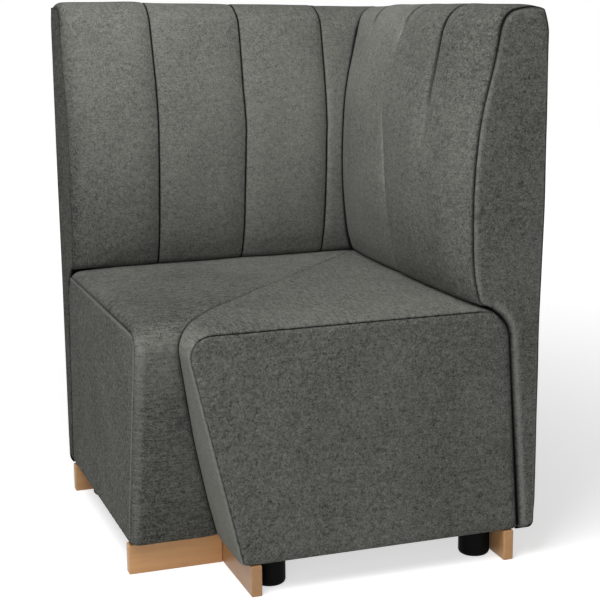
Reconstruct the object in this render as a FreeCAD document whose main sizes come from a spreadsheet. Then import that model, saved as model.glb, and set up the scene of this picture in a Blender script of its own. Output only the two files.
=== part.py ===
"""Corner module of an upholstered banquette: two mitred seats and two channelled backs on low feet.

Plan: a square. The right wing's back stands along the right side and its free end is the front side.
The left wing is its mirror image in the upright plane through the inner corner. x runs to the right,
y to the rear, z up. Shapes are drawn from the front left corner of the square and then placed so
that the origin is at floor level in the middle of the plan.
"""
import FreeCAD
import Part
import Sketcher
import math
import os
import re

Vector = FreeCAD.Vector

SIZES = (
    ("module_width", 700, "side of the square plan"),
    ("seat_height", 461, "top seam at the free ends of the seats"),
    ("seat_crown", 9, "rise of the seat top above its end seam"),
    ("front_crown", 8, "swell of the seat front past its end seam"),
    ("nose_setback", 72, "front plane of the module to the nose of the other seat"),
    ("nose_radius", 38, "rounding of the front edge of the seat"),
    ("nose_drop", 48, "top seam down to where the slanted seat front meets the nose"),
    ("toe_setback", 155, "front plane to the foot of the slanted seat front"),
    ("bottom_roll", 9, "rounding of the covers at their lower edge"),
    ("seat_rear_radius", 58, "rounding of the rear upper edge of the seat"),
    ("cover_thickness", 12, "fabric with its padding on seats and ends"),
    ("cover_edge_round", 5, "rounding of the end covers along their seam"),
    ("panel_thickness", 15, "plywood of the seat box"),
    ("foam_depth", 91, "top seam down to the plywood deck under the seat foam"),
    ("web_gap", 6, "middle web to the front and rear panels"),
    ("soft_clearance", 0.3, "between soft pieces with curved faces"),
    ("back_height", 966, "top of the back at its free end"),
    ("back_foot_depth", 34, "depth of the back at its lower edge"),
    ("back_waist_depth", 59, "depth of the back behind the seat"),
    ("back_pad_depth", 132, "greatest depth of the back at its end seam"),
    ("pad_start_rise", 11, "top seam of the seat up to the lower edge of the channels"),
    ("contact_gap", 3, "open joint between the covers of seat and back"),
    ("groove_swell", 33, "greatest stand of the grooves past the end seam"),
    ("corner_channel_width", 200.5, "last groove to the corner of the plan"),
    ("channel_crown", 13, "swell of a channel past its grooves"),
    ("end_channel_crown", 20, "swell of the channel beside the free end"),
    ("crease_crown", 3, "swell of the channel in the inner corner"),
    ("channel_overlap", 6, "how far a raw channel reaches into the core that trims it"),
    ("top_roll_height", 106, "height of the rounded upper part of the back"),
    ("top_fall", 16, "drop of the top edge towards the inner corner"),
    ("rear_round", 20, "rounding of the lower rear edge of the back"),
    ("outer_cover_thickness", 4, "fabric with thin wadding on the rear"),
    ("rear_board_thickness", 4, "hardboard behind the back frame"),
    ("facing_thickness", 8, "plywood in front of the back frame"),
    ("frame_depth", 52, "front of the back frame to the rear face"),
    ("frame_top_gap", 4, "rear edge of the channels down to the top of the back frame"),
    ("rib_thickness", 18, "shaped rib at the free end"),
    ("rail_width", 60, "rails of the back frame"),
    ("seat_rail_height", 190, "lower edge of the rail that the seat is bolted to"),
    ("foot_height", 55, "floor to the underside"),
    ("foot_board_thickness", 19, "wooden foot boards"),
    ("foot_board_length", 189, "wooden foot boards"),
    ("foot_board_round", 2.5, "eased edges of the foot boards"),
    ("front_board_setback", 170, "front plane to the front foot boards"),
    ("rear_board_setback", 42, "rear face to the rear foot boards"),
    ("dust_cover_thickness", 1, "felt under the seat box"),
    ("dust_cover_inset", 4, "edge of the felt inside the seat box"),
    ("glide_diameter", 56, "round feet"),
    ("glide_round", 7, "rounding of a round foot at the floor"),
    ("glide_gap", 3, "round foot to the foot board beside it"),
    ("glide_end_inset", 58, "free end to the middle of a round foot"),
    ("screw_diameter", 4.5, "wood screws of the foot boards"),
    ("screw_head_diameter", 9, "wood screws of the foot boards"),
    ("screw_length", 50, "wood screws of the foot boards"),
    ("screw_end_inset", 42, "screw to the end of a foot board"),
    ("glide_screw_diameter", 6, "screws of the round feet"),
    ("glide_screw_head_diameter", 12, "screws of the round feet"),
    ("glide_screw_head_height", 4, "screws of the round feet"),
    ("glide_counterbore_diameter", 18, "recess for the screw in a round foot"),
    ("glide_counterbore_depth", 34, "recess for the screw in a round foot"),
    ("glide_screw_reach", 12, "how far the screw goes into the base panel"),
    ("fastener_clearance", 0.15, "between a fastener and its hole"),
    ("bolt_diameter", 8, "bolts from the seat box into the back"),
    ("bolt_flange_diameter", 20, "bolts from the seat box into the back"),
    ("bolt_flange_thickness", 3, "bolts from the seat box into the back"),
    ("bolt_head_diameter", 13, "bolts from the seat box into the back"),
    ("bolt_head_height", 6, "bolts from the seat box into the back"),
    ("bolt_reach", 28, "bolt past the rear panel of the seat box"),
    ("bolt_end_inset", 150, "free end to the first bolt"),
    ("bolt_pitch", 300, "first bolt to second bolt"),
    ("insert_diameter", 12, "threaded inserts in the rail"),
    ("insert_length", 20, "threaded inserts in the rail"),
    ("overrun", 10, "how far cutting shapes pass the faces that they cut"),
)

doc = FreeCAD.newDocument("corner_banquette")
sheet = doc.addObject("Spreadsheet::Sheet", "Sizes")
for row, (alias, value, note) in enumerate(SIZES, 1):
    sheet.set("A%d" % row, note)
    sheet.set("B%d" % row, str(value))
    sheet.setAlias("B%d" % row, alias)
doc.recompute()

ALIASES = {alias for alias, value, note in SIZES}
# The middle point of a quarter circle lies at this share of the radius from the centre, both ways.
DIAGONAL_SHARE = math.sqrt(0.5)
nodes = []


def size(alias):
    """The value of one cell, in millimetres."""
    return float(getattr(sheet, alias))


def bind(thing, slot, formula):
    """Tie a property to a formula in which each size is written by its alias."""
    def cell(match):
        word = match.group(0)
        return "Sizes." + word if word in ALIASES else word
    thing.setExpression(slot, re.sub(r"[a-z_]+", cell, formula))


def place(thing, across, along, up):
    """Bind the place of a shape drawn from the front left corner of the plan."""
    bind(thing, ".Placement.Base.x", "%s - module_width / 2" % across)
    bind(thing, ".Placement.Base.y", "%s - module_width / 2" % along)
    bind(thing, ".Placement.Base.z", up)


def keep(thing, label):
    """Name a finished sub-part; its label is the name of its file."""
    thing.Label = label
    nodes.append(thing)
    return thing


def boolean(kind, name, base, tool):
    """A Part::Cut or Part::Common of two objects."""
    result = doc.addObject("Part::" + kind, name)
    result.Base = base
    result.Tool = tool
    return result


def compound(name, parts):
    """Several solids in one object."""
    group = doc.addObject("Part::Compound", name)
    group.Links = parts
    return group


def mirrored(name, source):
    """The left wing's copy of a right wing piece, mirrored in the upright plane x = y."""
    twin = doc.addObject("Part::Mirroring", name)
    twin.Source = source
    twin.Base = Vector(0, 0, 0)
    twin.Normal = Vector(1, -1, 0)
    return twin


def both_wings(piece, name):
    """Keep a piece of the right wing and its mirror image in the left wing."""
    keep(piece, "right_" + name)
    return keep(mirrored("left_" + name, piece), "left_" + name)


def box(name, across, along, up, length, width, height):
    """A board with square edges."""
    board = doc.addObject("Part::Box", name)
    bind(board, "Length", length)
    bind(board, "Width", width)
    bind(board, "Height", height)
    place(board, across, along, up)
    return board


def solid_feature(name, shape):
    """A shape worked out in code, drawn from the front left corner of the plan."""
    feature = doc.addObject("Part::Feature", name)
    feature.Shape = shape
    place(feature, "0", "0", "0")
    return feature


def attached_sketch(body, role):
    """An empty sketch on one of the body's own origin planes."""
    sketch = body.newObject("Sketcher::SketchObject", body.Name + "_sketch")
    plane = [feature for feature in body.Origin.OriginFeatures if feature.Role == role][0]
    sketch.AttachmentSupport = (plane, [""])
    sketch.MapMode = "FlatFace"
    return sketch


def outline_body(name, role, corners, thickness, reverse=False):
    """A panel padded from a closed outline; each corner is bound to a pair of formulas."""
    body = doc.addObject("PartDesign::Body", name)
    sketch = attached_sketch(body, role)
    count = len(corners)
    rough = [Vector(math.cos(2 * math.pi * i / count) + 2, math.sin(2 * math.pi * i / count) + 2, 0)
             for i in range(count)]
    for i in range(count):
        sketch.addGeometry(Part.LineSegment(rough[i], rough[(i + 1) % count]))
    for i in range(count):
        sketch.addConstraint(Sketcher.Constraint("Coincident", i, 2, (i + 1) % count, 1))
    for i, pair in enumerate(corners):
        for direction, formula, start in zip(("DistanceX", "DistanceY"), pair, rough[i]):
            index = sketch.addConstraint(Sketcher.Constraint(direction, -1, 1, i, 1, start))
            bind(sketch, "Constraints[%d]" % index, formula)
    pad = body.newObject("PartDesign::Pad", name + "_pad")
    pad.Profile = sketch
    pad.Reversed = reverse
    bind(pad, "Length", thickness)
    return body


NOSE_HEIGHT = "(seat_height - nose_drop)"
DECK_TOP = "(seat_height - foam_depth)"
PAD_START = "(seat_height + pad_start_rise)"
# The rear edge of the channels lies at this share of the height of the rounded top.
REAR_EDGE_SHARE = 0.651
REAR_EDGE = "(back_height - top_roll_height * (1 - %s))" % REAR_EDGE_SHARE
FRAME_TOP = "(%s - frame_top_gap)" % REAR_EDGE


def front_line(height, inset="0"):
    """Formula of the slanted seat front at a height, at the end seam."""
    return ("(toe_setback - (toe_setback - nose_setback) * (%s - foot_height)"
            " / (%s - foot_height) + %s)" % (height, NOSE_HEIGHT, inset))


def rear_line(height, inset="0"):
    """Formula of the slanted rear of the seat, which the back stands against."""
    return ("(module_width - back_foot_depth - (back_waist_depth - back_foot_depth)"
            " * (%s - foot_height) / (seat_height - seat_rear_radius - foot_height) - %s)"
            % (height, inset))


BASE_BOTTOM = "(foot_height + dust_cover_thickness)"
BASE_TOP = "(foot_height + dust_cover_thickness + panel_thickness)"
DECK_BOTTOM = "(%s - panel_thickness)" % DECK_TOP
END_FACE = "cover_thickness"
FRAME_REAR = "(module_width - outer_cover_thickness - rear_board_thickness)"
FRAME_FRONT = "(module_width - frame_depth)"

# The right wing's half of the plan: a block on one side of the upright mitre plane x = y.
mitre_block = doc.addObject("Part::Box", "mitre_block")
bind(mitre_block, "Length", "(module_width + 2 * overrun) * 2")
bind(mitre_block, "Width", "module_width + 2 * overrun")
bind(mitre_block, "Height", "back_height + 4 * overrun")
mitre_block.Placement.Rotation = FreeCAD.Rotation(Vector(0, 0, 1), -135)
place(mitre_block, "(module_width + overrun)", "(module_width + overrun)", "-overrun")


def right_half(name, piece):
    """The part of a piece on the right wing's side of the mitre."""
    return boolean("Common", name, piece, mitre_block)


# Wood screws: countersunk, driven down through the base panels into the foot boards.
def wood_screw(grow):
    """A countersunk screw with its head flush at z = 0, made larger all round by grow."""
    shank = size("screw_diameter") / 2 + grow
    head = size("screw_head_diameter") / 2 + grow
    cone = Part.makeCone(shank, head, head - shank, Vector(0, 0, shank - head))
    length = size("screw_length") + grow
    return cone.fuse(Part.makeCylinder(shank, length, Vector(0, 0, 0), Vector(0, 0, -1)))


# Screws of the round feet: pan head in the counterbore, driven up into the base panels.
def glide_screw(grow):
    """A pan head screw with the underside of its head at z = 0, made larger all round by grow."""
    reach = size("foot_height") - size("glide_counterbore_depth")
    reach += size("dust_cover_thickness") + size("glide_screw_reach")
    head_radius = size("glide_screw_head_diameter") / 2 + grow
    head = Part.makeCylinder(head_radius, size("glide_screw_head_height"), Vector(0, 0, 0), Vector(0, 0, -1))
    return head.fuse(Part.makeCylinder(size("glide_screw_diameter") / 2 + grow, reach + grow))


def copies(name, shape, places):
    """One object that holds the same solid at several places, each bound to the sheet."""
    parts = []
    for number, spot in enumerate(places, 1):
        part = doc.addObject("Part::Feature", "%s_%d" % (name, number))
        part.Shape = shape
        place(part, *spot)
        parts.append(part)
    return compound(name, parts)


def swapped(spots):
    """The given places and their mirror images in the left wing."""
    return list(spots) + [(along, across, up) for across, along, up in spots]


FRONT_BOARD_MIDDLE = "(front_board_setback + foot_board_thickness / 2)"
REAR_BOARD_MIDDLE = "(module_width - rear_board_setback - foot_board_thickness / 2)"
FIRST_SCREW = "screw_end_inset"
LAST_SCREW = "(foot_board_length - screw_end_inset)"
screw_spots = swapped([(middle, along, BASE_TOP)
                       for middle in (FRONT_BOARD_MIDDLE, REAR_BOARD_MIDDLE)
                       for along in (FIRST_SCREW, LAST_SCREW)])
clearance = size("fastener_clearance")
keep(copies("screws", wood_screw(0), screw_spots), "foot_board_screws")
screw_holes = copies("screw_holes", wood_screw(clearance), screw_spots)

GLIDE_FRONT = "(front_board_setback + foot_board_thickness + glide_gap + glide_diameter / 2)"
REAR_BOARD_FRONT = "(module_width - rear_board_setback - foot_board_thickness)"
GLIDE_REAR = "(%s - glide_gap - glide_diameter / 2)" % REAR_BOARD_FRONT
glide_spots = swapped([(GLIDE_FRONT, "glide_end_inset", "0"), (GLIDE_REAR, "glide_end_inset", "0")])
glide_spots.append((GLIDE_REAR, GLIDE_REAR, "0"))
glide_screw_spots = [(across, along, "glide_counterbore_depth") for across, along, up in glide_spots]
keep(copies("glide_screws", glide_screw(0), glide_screw_spots), "glide_foot_screws")
glide_screw_holes = copies("glide_screw_holes", glide_screw(clearance), glide_screw_spots)


# Foot boards: solid light wood on edge, eased all round, two screws each.
def foot_board(label, across, along, length, width):
    """A board on edge with its outer corner at the given place."""
    blank = box(label + "_blank", across, along, "0", length, width, "foot_height")
    doc.recompute()
    eased = doc.addObject("Part::Fillet", label + "_eased")
    eased.Base = blank
    radius = size("foot_board_round")
    eased.Edges = [(number, radius, radius) for number in range(1, len(blank.Shape.Edges) + 1)]
    keep(boolean("Cut", label + "_drilled", eased, screw_holes), label)


foot_board("right_front_foot_board", "front_board_setback", "0", "foot_board_thickness",
           "foot_board_length")
foot_board("right_rear_foot_board", REAR_BOARD_FRONT, "0", "foot_board_thickness", "foot_board_length")
foot_board("left_rear_foot_board", "0", REAR_BOARD_FRONT, "foot_board_length", "foot_board_thickness")
# The left front board is the shorter one, because it butts against the side of the right one.
foot_board("left_front_foot_board", "0", "front_board_setback", "front_board_setback",
           "foot_board_thickness")


# Round feet: moulded plastic, rounded at the floor, screwed up through a counterbore.
def circle_sketch(body, diameter):
    """A circle about the body's own upright axis."""
    sketch = attached_sketch(body, "XY_Plane")
    sketch.addGeometry(Part.Circle(Vector(0, 0, 0), Vector(0, 0, 1), 1))
    sketch.addConstraint(Sketcher.Constraint("Coincident", 0, 3, -1, 1))
    index = sketch.addConstraint(Sketcher.Constraint("Diameter", 0, 2))
    bind(sketch, "Constraints[%d]" % index, diameter)
    return sketch


def glide_foot(number, across, along, up):
    """One round foot: a padded disc, rounded below, with a counterbored screw hole."""
    body = doc.addObject("PartDesign::Body", "glide_foot_body_%d" % number)
    pad = body.newObject("PartDesign::Pad", "glide_pad_%d" % number)
    pad.Profile = circle_sketch(body, "glide_diameter")
    bind(pad, "Length", "foot_height")
    doc.recompute()
    floor_edge = ["Edge%d" % i for i, edge in enumerate(pad.Shape.Edges, 1)
                  if edge.BoundBox.ZMax < size("glide_round")]
    rounded = body.newObject("PartDesign::Fillet", "glide_rounding_%d" % number)
    rounded.Base = (pad, floor_edge)
    bind(rounded, "Radius", "glide_round")
    for name, diameter, depth in (
            ("counterbore", "glide_counterbore_diameter", "glide_counterbore_depth"),
            ("screw_hole", "(glide_screw_diameter + 2 * fastener_clearance)", "(foot_height + overrun)")):
        pocket = body.newObject("PartDesign::Pocket", "glide_%s_%d" % (name, number))
        pocket.Profile = circle_sketch(body, diameter)
        pocket.Reversed = True
        bind(pocket, "Length", depth)
        doc.recompute()
    place(body, across, along, up)
    keep(body, "glide_foot_%d" % number)


for number, spot in enumerate(glide_spots, 1):
    glide_foot(number, *spot)

# Seat box: plywood base, slanted front, end and rear panels, middle web under the mitre, deck.
# Each wing has one base panel and one deck, and they meet on the mitre.
BASE_FRONT = "(toe_setback + cover_thickness)"
BASE_REAR = rear_line(BASE_TOP)
raw_base = outline_body("base_panel_body", "XY_Plane",
                        [(BASE_FRONT, END_FACE), (BASE_REAR, END_FACE),
                         (BASE_REAR, BASE_REAR), (BASE_FRONT, BASE_FRONT)], "panel_thickness")
place(raw_base, "0", "0", BASE_BOTTOM)
both_wings(boolean("Cut", "base_panel", boolean("Cut", "base_panel_drilled", raw_base, screw_holes),
                   glide_screw_holes), "base_panel")

DUST_FRONT = "(toe_setback + cover_thickness + dust_cover_inset)"
DUST_END = "(cover_thickness + dust_cover_inset)"
DUST_REAR = rear_line(BASE_TOP, "dust_cover_inset")
raw_dust = outline_body("dust_cover_body", "XY_Plane",
                        [(DUST_FRONT, DUST_END), (DUST_REAR, DUST_END), (DUST_REAR, DUST_REAR),
                         (DUST_END, DUST_REAR), (DUST_END, DUST_FRONT), (DUST_FRONT, DUST_FRONT)],
                        "dust_cover_thickness")
place(raw_dust, "0", "0", "foot_height")
keep(boolean("Cut", "dust_cover", boolean("Cut", "dust_cover_drilled", raw_dust, screw_holes),
             glide_screw_holes), "dust_cover")

end_panel = outline_body("seat_end_panel", "XZ_Plane",
                         [(front_line(BASE_TOP, "cover_thickness"), BASE_TOP),
                          (rear_line(BASE_TOP), BASE_TOP),
                          (rear_line(DECK_BOTTOM), DECK_BOTTOM),
                          (front_line(DECK_BOTTOM, "cover_thickness"), DECK_BOTTOM)],
                         "panel_thickness", reverse=True)
place(end_panel, "0", END_FACE, "0")
both_wings(end_panel, "seat_end_panel")

INSIDE_END = "(cover_thickness + panel_thickness)"
TO_MITRE = "(module_width - cover_thickness - panel_thickness)"
front_panel = outline_body("seat_front_panel_body", "XZ_Plane",
                           [(front_line(BASE_TOP, "cover_thickness"), BASE_TOP),
                            (front_line(BASE_TOP, "cover_thickness + panel_thickness"), BASE_TOP),
                            (front_line(DECK_BOTTOM, "cover_thickness + panel_thickness"), DECK_BOTTOM),
                            (front_line(DECK_BOTTOM, "cover_thickness"), DECK_BOTTOM)],
                           TO_MITRE, reverse=True)
place(front_panel, "0", INSIDE_END, "0")
both_wings(right_half("seat_front_panel", front_panel), "seat_front_panel")


# Bolts from the seat box into the back: flanged heads inside the box, threaded inserts in the rail.
# They stand square to the slanted rear panel.
slope = ((size("back_waist_depth") - size("back_foot_depth"))
         / (size("seat_height") - size("seat_rear_radius") - size("foot_height")))
bolt_axis = Vector(1, 0, slope).normalize()


def along_bolt(radius, start, end):
    """A cylinder on the bolt's axis, from start to end, where the seat box ends at 0."""
    return Part.makeCylinder(radius, end - start, bolt_axis * start, bolt_axis)


def bolt():
    """Round head with a flange inside the seat box, and the shank that reaches into the rail."""
    inside = -size("panel_thickness") * bolt_axis.x
    flange = inside - size("bolt_flange_thickness")
    head = along_bolt(size("bolt_head_diameter") / 2, flange - size("bolt_head_height"), flange)
    plate = along_bolt(size("bolt_flange_diameter") / 2, flange, inside)
    shank = along_bolt(size("bolt_diameter") / 2, flange, size("bolt_reach"))
    return shank.fuse([plate, head])


def bolt_hole():
    """What the bolt and its insert take out of the rear panel and the rail."""
    wide = along_bolt(size("insert_diameter") / 2 + clearance, 0, size("insert_length") + clearance)
    return wide.fuse(along_bolt(size("bolt_diameter") / 2 + clearance, -2 * size("panel_thickness"),
                                size("bolt_reach") + 2 * clearance))


def insert():
    """A threaded insert, flush with the front of the rail."""
    bore = along_bolt(size("bolt_diameter") / 2 + clearance, -size("overrun"),
                      size("insert_length") + size("overrun"))
    return along_bolt(size("insert_diameter") / 2, 0, size("insert_length")).cut(bore)


BOLT_HEIGHT = "(seat_rail_height + rail_width / 2)"
bolt_spots = [(rear_line(BOLT_HEIGHT), along, BOLT_HEIGHT)
              for along in ("bolt_end_inset", "(bolt_end_inset + bolt_pitch)")]
right_bolts = copies("right_bolts", bolt(), bolt_spots)
keep(compound("bolts", [right_bolts, mirrored("left_bolts", right_bolts)]), "seat_to_back_bolts")
right_inserts = copies("right_inserts", insert(), bolt_spots)
keep(compound("inserts", [right_inserts, mirrored("left_inserts", right_inserts)]), "seat_to_back_inserts")
bolt_holes = copies("bolt_holes", bolt_hole(), bolt_spots)

rear_panel = outline_body("seat_rear_panel_body", "XZ_Plane",
                          [(rear_line(BASE_TOP, "panel_thickness"), BASE_TOP),
                           (rear_line(BASE_TOP), BASE_TOP),
                           (rear_line(DECK_BOTTOM), DECK_BOTTOM),
                           (rear_line(DECK_BOTTOM, "panel_thickness"), DECK_BOTTOM)],
                          TO_MITRE, reverse=True)
place(rear_panel, "0", INSIDE_END, "0")
both_wings(boolean("Cut", "seat_rear_panel", right_half("rear_panel_mitred", rear_panel), bolt_holes),
           "seat_rear_panel")

WEB_START = "(toe_setback + cover_thickness + panel_thickness + web_gap)"
WEB_END = "(module_width - back_waist_depth - panel_thickness - web_gap)"
web = doc.addObject("Part::Box", "seat_mitre_web")
bind(web, "Length", "(%s - %s) * sqrt(2)" % (WEB_END, WEB_START))
bind(web, "Width", "panel_thickness")
bind(web, "Height", "%s - %s" % (DECK_BOTTOM, BASE_TOP))
web.Placement.Rotation = FreeCAD.Rotation(Vector(0, 0, 1), 45)
place(web, "(%s + panel_thickness / 2 / sqrt(2))" % WEB_START,
      "(%s - panel_thickness / 2 / sqrt(2))" % WEB_START, BASE_TOP)
keep(web, "seat_mitre_web")

DECK_FRONT = front_line(DECK_BOTTOM, "cover_thickness")
DECK_REAR = rear_line(DECK_TOP)
deck = outline_body("seat_deck", "XY_Plane",
                    [(DECK_FRONT, END_FACE), (DECK_REAR, END_FACE), (DECK_REAR, DECK_REAR),
                     (DECK_FRONT, DECK_FRONT)], "panel_thickness")
place(deck, "0", "0", DECK_BOTTOM)
both_wings(deck, "seat_deck")


# Seat upholstery, drawn as sections across the right wing.
nose_height = size("seat_height") - size("nose_drop")
deck_top = size("seat_height") - size("foam_depth")


def front_at(height):
    """The slanted seat front at a height, at the end seam."""
    toe = size("toe_setback")
    share = (height - size("foot_height")) / (nose_height - size("foot_height"))
    return toe - (toe - size("nose_setback")) * share


def rear_at(height):
    """The slanted rear of the seat at a height."""
    return size("module_width") - size("back_foot_depth") - slope * (height - size("foot_height"))


def bent(start, middle, end):
    """An arc through three points."""
    return Part.Arc(start, middle, end).toShape()


def straight(start, end):
    """A straight edge."""
    return Part.LineSegment(start, end).toShape()


# The crown fades towards the nose, where the cover is drawn tight.
NOSE_FRONT_SHARE = 0.15
NOSE_RISE_SHARE = 0.35
HEEL_RISE_SHARE = 0.7


def seat_points(along, inset, swell):
    """Points of the seat's section from its lower front edge over the top to the rear.

    inset moves the whole path inwards, and swell, 0 to 1, is how much of the crown it has.
    """
    low = size("foot_height") + size("soft_clearance")
    roll = size("bottom_roll") - inset * size("bottom_roll") / size("cover_thickness")
    rise = swell * size("seat_crown")
    front = swell * size("front_crown")
    nose = size("nose_radius") - inset
    lip = size("nose_setback") + size("nose_radius")
    top = size("seat_height")
    corner = size("seat_rear_radius") - inset
    shoulder = top - size("seat_rear_radius")
    heel = size("module_width") - size("back_waist_depth") - size("seat_rear_radius")
    start = front_at(low + roll) + inset
    end = front_at(nose_height) + inset - front * NOSE_FRONT_SHARE
    middle_height = (low + roll + nose_height) / 2
    bulge = size("soft_clearance") + front
    flat = [
        (front_at(low) + inset + roll, low),
        (start + roll * (1 - DIAGONAL_SHARE), low + roll * (1 - DIAGONAL_SHARE)),
        (start, low + roll),
        ((start + end) / 2 - bulge, middle_height),
        (end, nose_height),
        (lip - nose * DIAGONAL_SHARE - front * NOSE_FRONT_SHARE,
         top - size("nose_radius") + nose * DIAGONAL_SHARE + rise * NOSE_RISE_SHARE),
        (lip, top - inset + rise),
        (heel, top - inset + rise * HEEL_RISE_SHARE),
        (heel + corner * DIAGONAL_SHARE, shoulder + corner * DIAGONAL_SHARE),
        (heel + corner, shoulder),
    ]
    return [Vector(across, along, up) for across, up in flat]


def seat_path(points):
    """Edges along the points of a seat section: lower roll, front, nose, top, rear corner."""
    return [bent(*points[0:3]), bent(*points[2:5]), bent(*points[4:7]), straight(*points[6:8]),
            bent(*points[7:10])]


def reversed_path(points):
    """Edges from the rear corner back to the lower end of the front, for the inside of the cover."""
    back = points[::-1]
    return [bent(*back[0:3]), straight(*back[2:4]), bent(*back[3:6]), bent(*back[5:8])]


def cover_section(along, swell):
    """Closed section of the padded seat cover."""
    outer = seat_points(along, 0, swell)
    inner = seat_points(along, size("cover_thickness"), 0)
    tail = Vector(rear_at(deck_top), along, deck_top)
    inner_tail = tail - Vector(size("cover_thickness"), 0, 0)
    edges = seat_path(outer)
    edges += [straight(outer[-1], tail), straight(tail, inner_tail), straight(inner_tail, inner[-1])]
    edges += reversed_path(inner)
    edges += [straight(inner[2], outer[0])]
    return Part.Wire(edges)


# The crown of the seat rises from the end seam over the first sixth and then stays nearly level.
SWELL_SHARES = ((0, 0), (0.05, 0.5), (0.1, 0.82), (0.17, 0.98), (0.27, 1), (0.4, 1), (0.55, 1), (0.7, 1),
                (0.85, 0.97), (1, 0.9))
run = size("module_width") - size("cover_thickness")
sections = [cover_section(size("cover_thickness") + place_share * run, swell_share)
            for place_share, swell_share in SWELL_SHARES]
cover = solid_feature("seat_cover_raw", Part.makeLoft(sections, True, False))
both_wings(right_half("seat_cover", cover), "seat_cover")


def foam_wire(along):
    """Closed section of the seat foam, which lies on the deck and fills the cover."""
    gap = size("soft_clearance")
    inset = size("cover_thickness") + gap
    points = seat_points(along, inset, 0)
    front = Vector(front_at(deck_top) + inset, along, deck_top)
    rear = Vector(rear_at(deck_top) - inset, along, deck_top)
    return Part.Wire([straight(front, points[4]), bent(*points[4:7]), straight(*points[6:8]),
                      bent(*points[7:10]), straight(points[9], rear), straight(rear, front)])


foam = Part.Face(foam_wire(size("cover_thickness"))).extrude(Vector(0, run, 0))
both_wings(right_half("seat_foam", solid_feature("seat_foam_raw", foam)), "seat_foam")


# How far the seam edge of an end cover is drawn in, by share of its rounding from the end plane.
EDGE_SHARES = ((0, 1), (0.1, 0.56), (0.35, 0.18), (1, 0))


def rounded_end(outline, name):
    """An end cover: a flat pad whose seam edge at the end plane is rounded in narrow bands."""
    turn = size("cover_edge_round")
    wires = [outline(depth_share * turn, inset_share * turn) for depth_share, inset_share in EDGE_SHARES]
    wires.append(outline(size("cover_thickness"), 0))
    return solid_feature(name, Part.makeLoft(wires, True, True))


def seat_end_wire(along, inset):
    """Outline of the seat's end, drawn in by inset."""
    points = seat_points(along, inset, 0)
    low = points[0].z
    heel = Vector(rear_at(low) - inset, along, low)
    return Part.Wire(seat_path(points) + [straight(points[-1], heel), straight(heel, points[0])])


both_wings(rounded_end(seat_end_wire, "seat_end_cover"), "seat_end_cover")


# Back frame: shaped end ribs, tapered corner post, rails between them, boards in front and behind.
RIB_BEND = ("(foot_height + (frame_depth - back_foot_depth) * (seat_height - seat_rear_radius - foot_height)"
            " / (back_waist_depth - back_foot_depth))")
RIB_OUTLINE = [(rear_line(BASE_BOTTOM), BASE_BOTTOM), (FRAME_REAR, BASE_BOTTOM), (FRAME_REAR, FRAME_TOP),
               (FRAME_FRONT, FRAME_TOP), (FRAME_FRONT, RIB_BEND)]
rib = outline_body("back_end_rib", "XZ_Plane", RIB_OUTLINE, "rib_thickness", reverse=True)
place(rib, "0", END_FACE, "0")
both_wings(rib, "back_end_rib")

post_half = outline_body("post_half", "XZ_Plane", RIB_OUTLINE, "%s - %s" % (FRAME_REAR, FRAME_FRONT),
                         reverse=True)
place(post_half, "0", FRAME_FRONT, "0")
keep(boolean("Common", "corner_post", post_half, mirrored("post_twin", post_half)), "back_corner_post")

RAIL_START = "(cover_thickness + rib_thickness)"
RAIL_LENGTH = "(%s - %s)" % (FRAME_FRONT, RAIL_START)


def slanted_rail(name, low):
    """A rail whose front lies against the slanted rear of the seat box."""
    high = "(%s + rail_width)" % low
    rail = outline_body(name, "XZ_Plane", [(rear_line(low), low), (FRAME_REAR, low), (FRAME_REAR, high),
                                           (rear_line(high), high)], RAIL_LENGTH, reverse=True)
    place(rail, "0", RAIL_START, "0")
    return rail


both_wings(slanted_rail("back_bottom_rail", BASE_BOTTOM), "back_bottom_rail")
both_wings(boolean("Cut", "back_seat_rail_drilled", slanted_rail("back_seat_rail", "seat_rail_height"),
                   bolt_holes), "back_seat_rail")
both_wings(box("back_top_rail", FRAME_FRONT, RAIL_START, FRAME_TOP + " - rail_width",
               "%s - %s" % (FRAME_REAR, FRAME_FRONT), RAIL_LENGTH, "rail_width"), "back_top_rail")

BOARD_LENGTH = "(module_width - cover_thickness)"
facing = box("facing_raw", "(%s - facing_thickness)" % FRAME_FRONT, END_FACE, PAD_START,
             "facing_thickness", BOARD_LENGTH, "%s - %s" % (FRAME_TOP, PAD_START))
both_wings(right_half("back_facing_board", facing), "back_facing_board")
hardboard = box("hardboard_raw", FRAME_REAR, END_FACE, BASE_BOTTOM, "rear_board_thickness", BOARD_LENGTH,
                "%s - %s" % (FRAME_TOP, BASE_BOTTOM))
both_wings(right_half("back_rear_board", hardboard), "back_rear_board")

# Back upholstery. Each row is one station on the way from the seat over the top to the rear:
# share of the greatest depth, share of the height of the front part, share of the height of the
# rounded top, direction in which the padding stands out in degrees from forward to up, and the
# shares of groove swell, crown and top fall.
STATION_SHARES = (
    (0.880, 0.0000, 0.000, 0, 0.45, 0.50, 0),
    (0.970, 0.1235, 0.000, 0, 0.60, 0.80, 0),
    (1.000, 0.3310, 0.000, 0, 0.82, 1.00, 0),
    (0.985, 0.5600, 0.000, 3, 0.94, 1.00, 0),
    (0.913, 0.7930, 0.000, 9, 1.00, 1.00, 0),
    (0.770, 1.0000, 0.000, 13, 0.91, 1.00, 0.05),
    (0.663, 1.0000, 0.568, 20, 0.67, 0.90, 0.3),
    (0.510, 1.0000, 0.898, 50, 0.27, 0.60, 0.85),
    (0.260, 1.0000, 1.000, 88, 0.00, 0.30, 1),
    (0.083, 1.0000, 0.898, 135, 0.00, 0.06, 0.8),
    (0.000, 1.0000, REAR_EDGE_SHARE, 178, 0.00, 0.01, 0),
)
pad_start = size("seat_height") + size("pad_start_rise")
front_part = size("back_height") - size("top_roll_height") - pad_start


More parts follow.
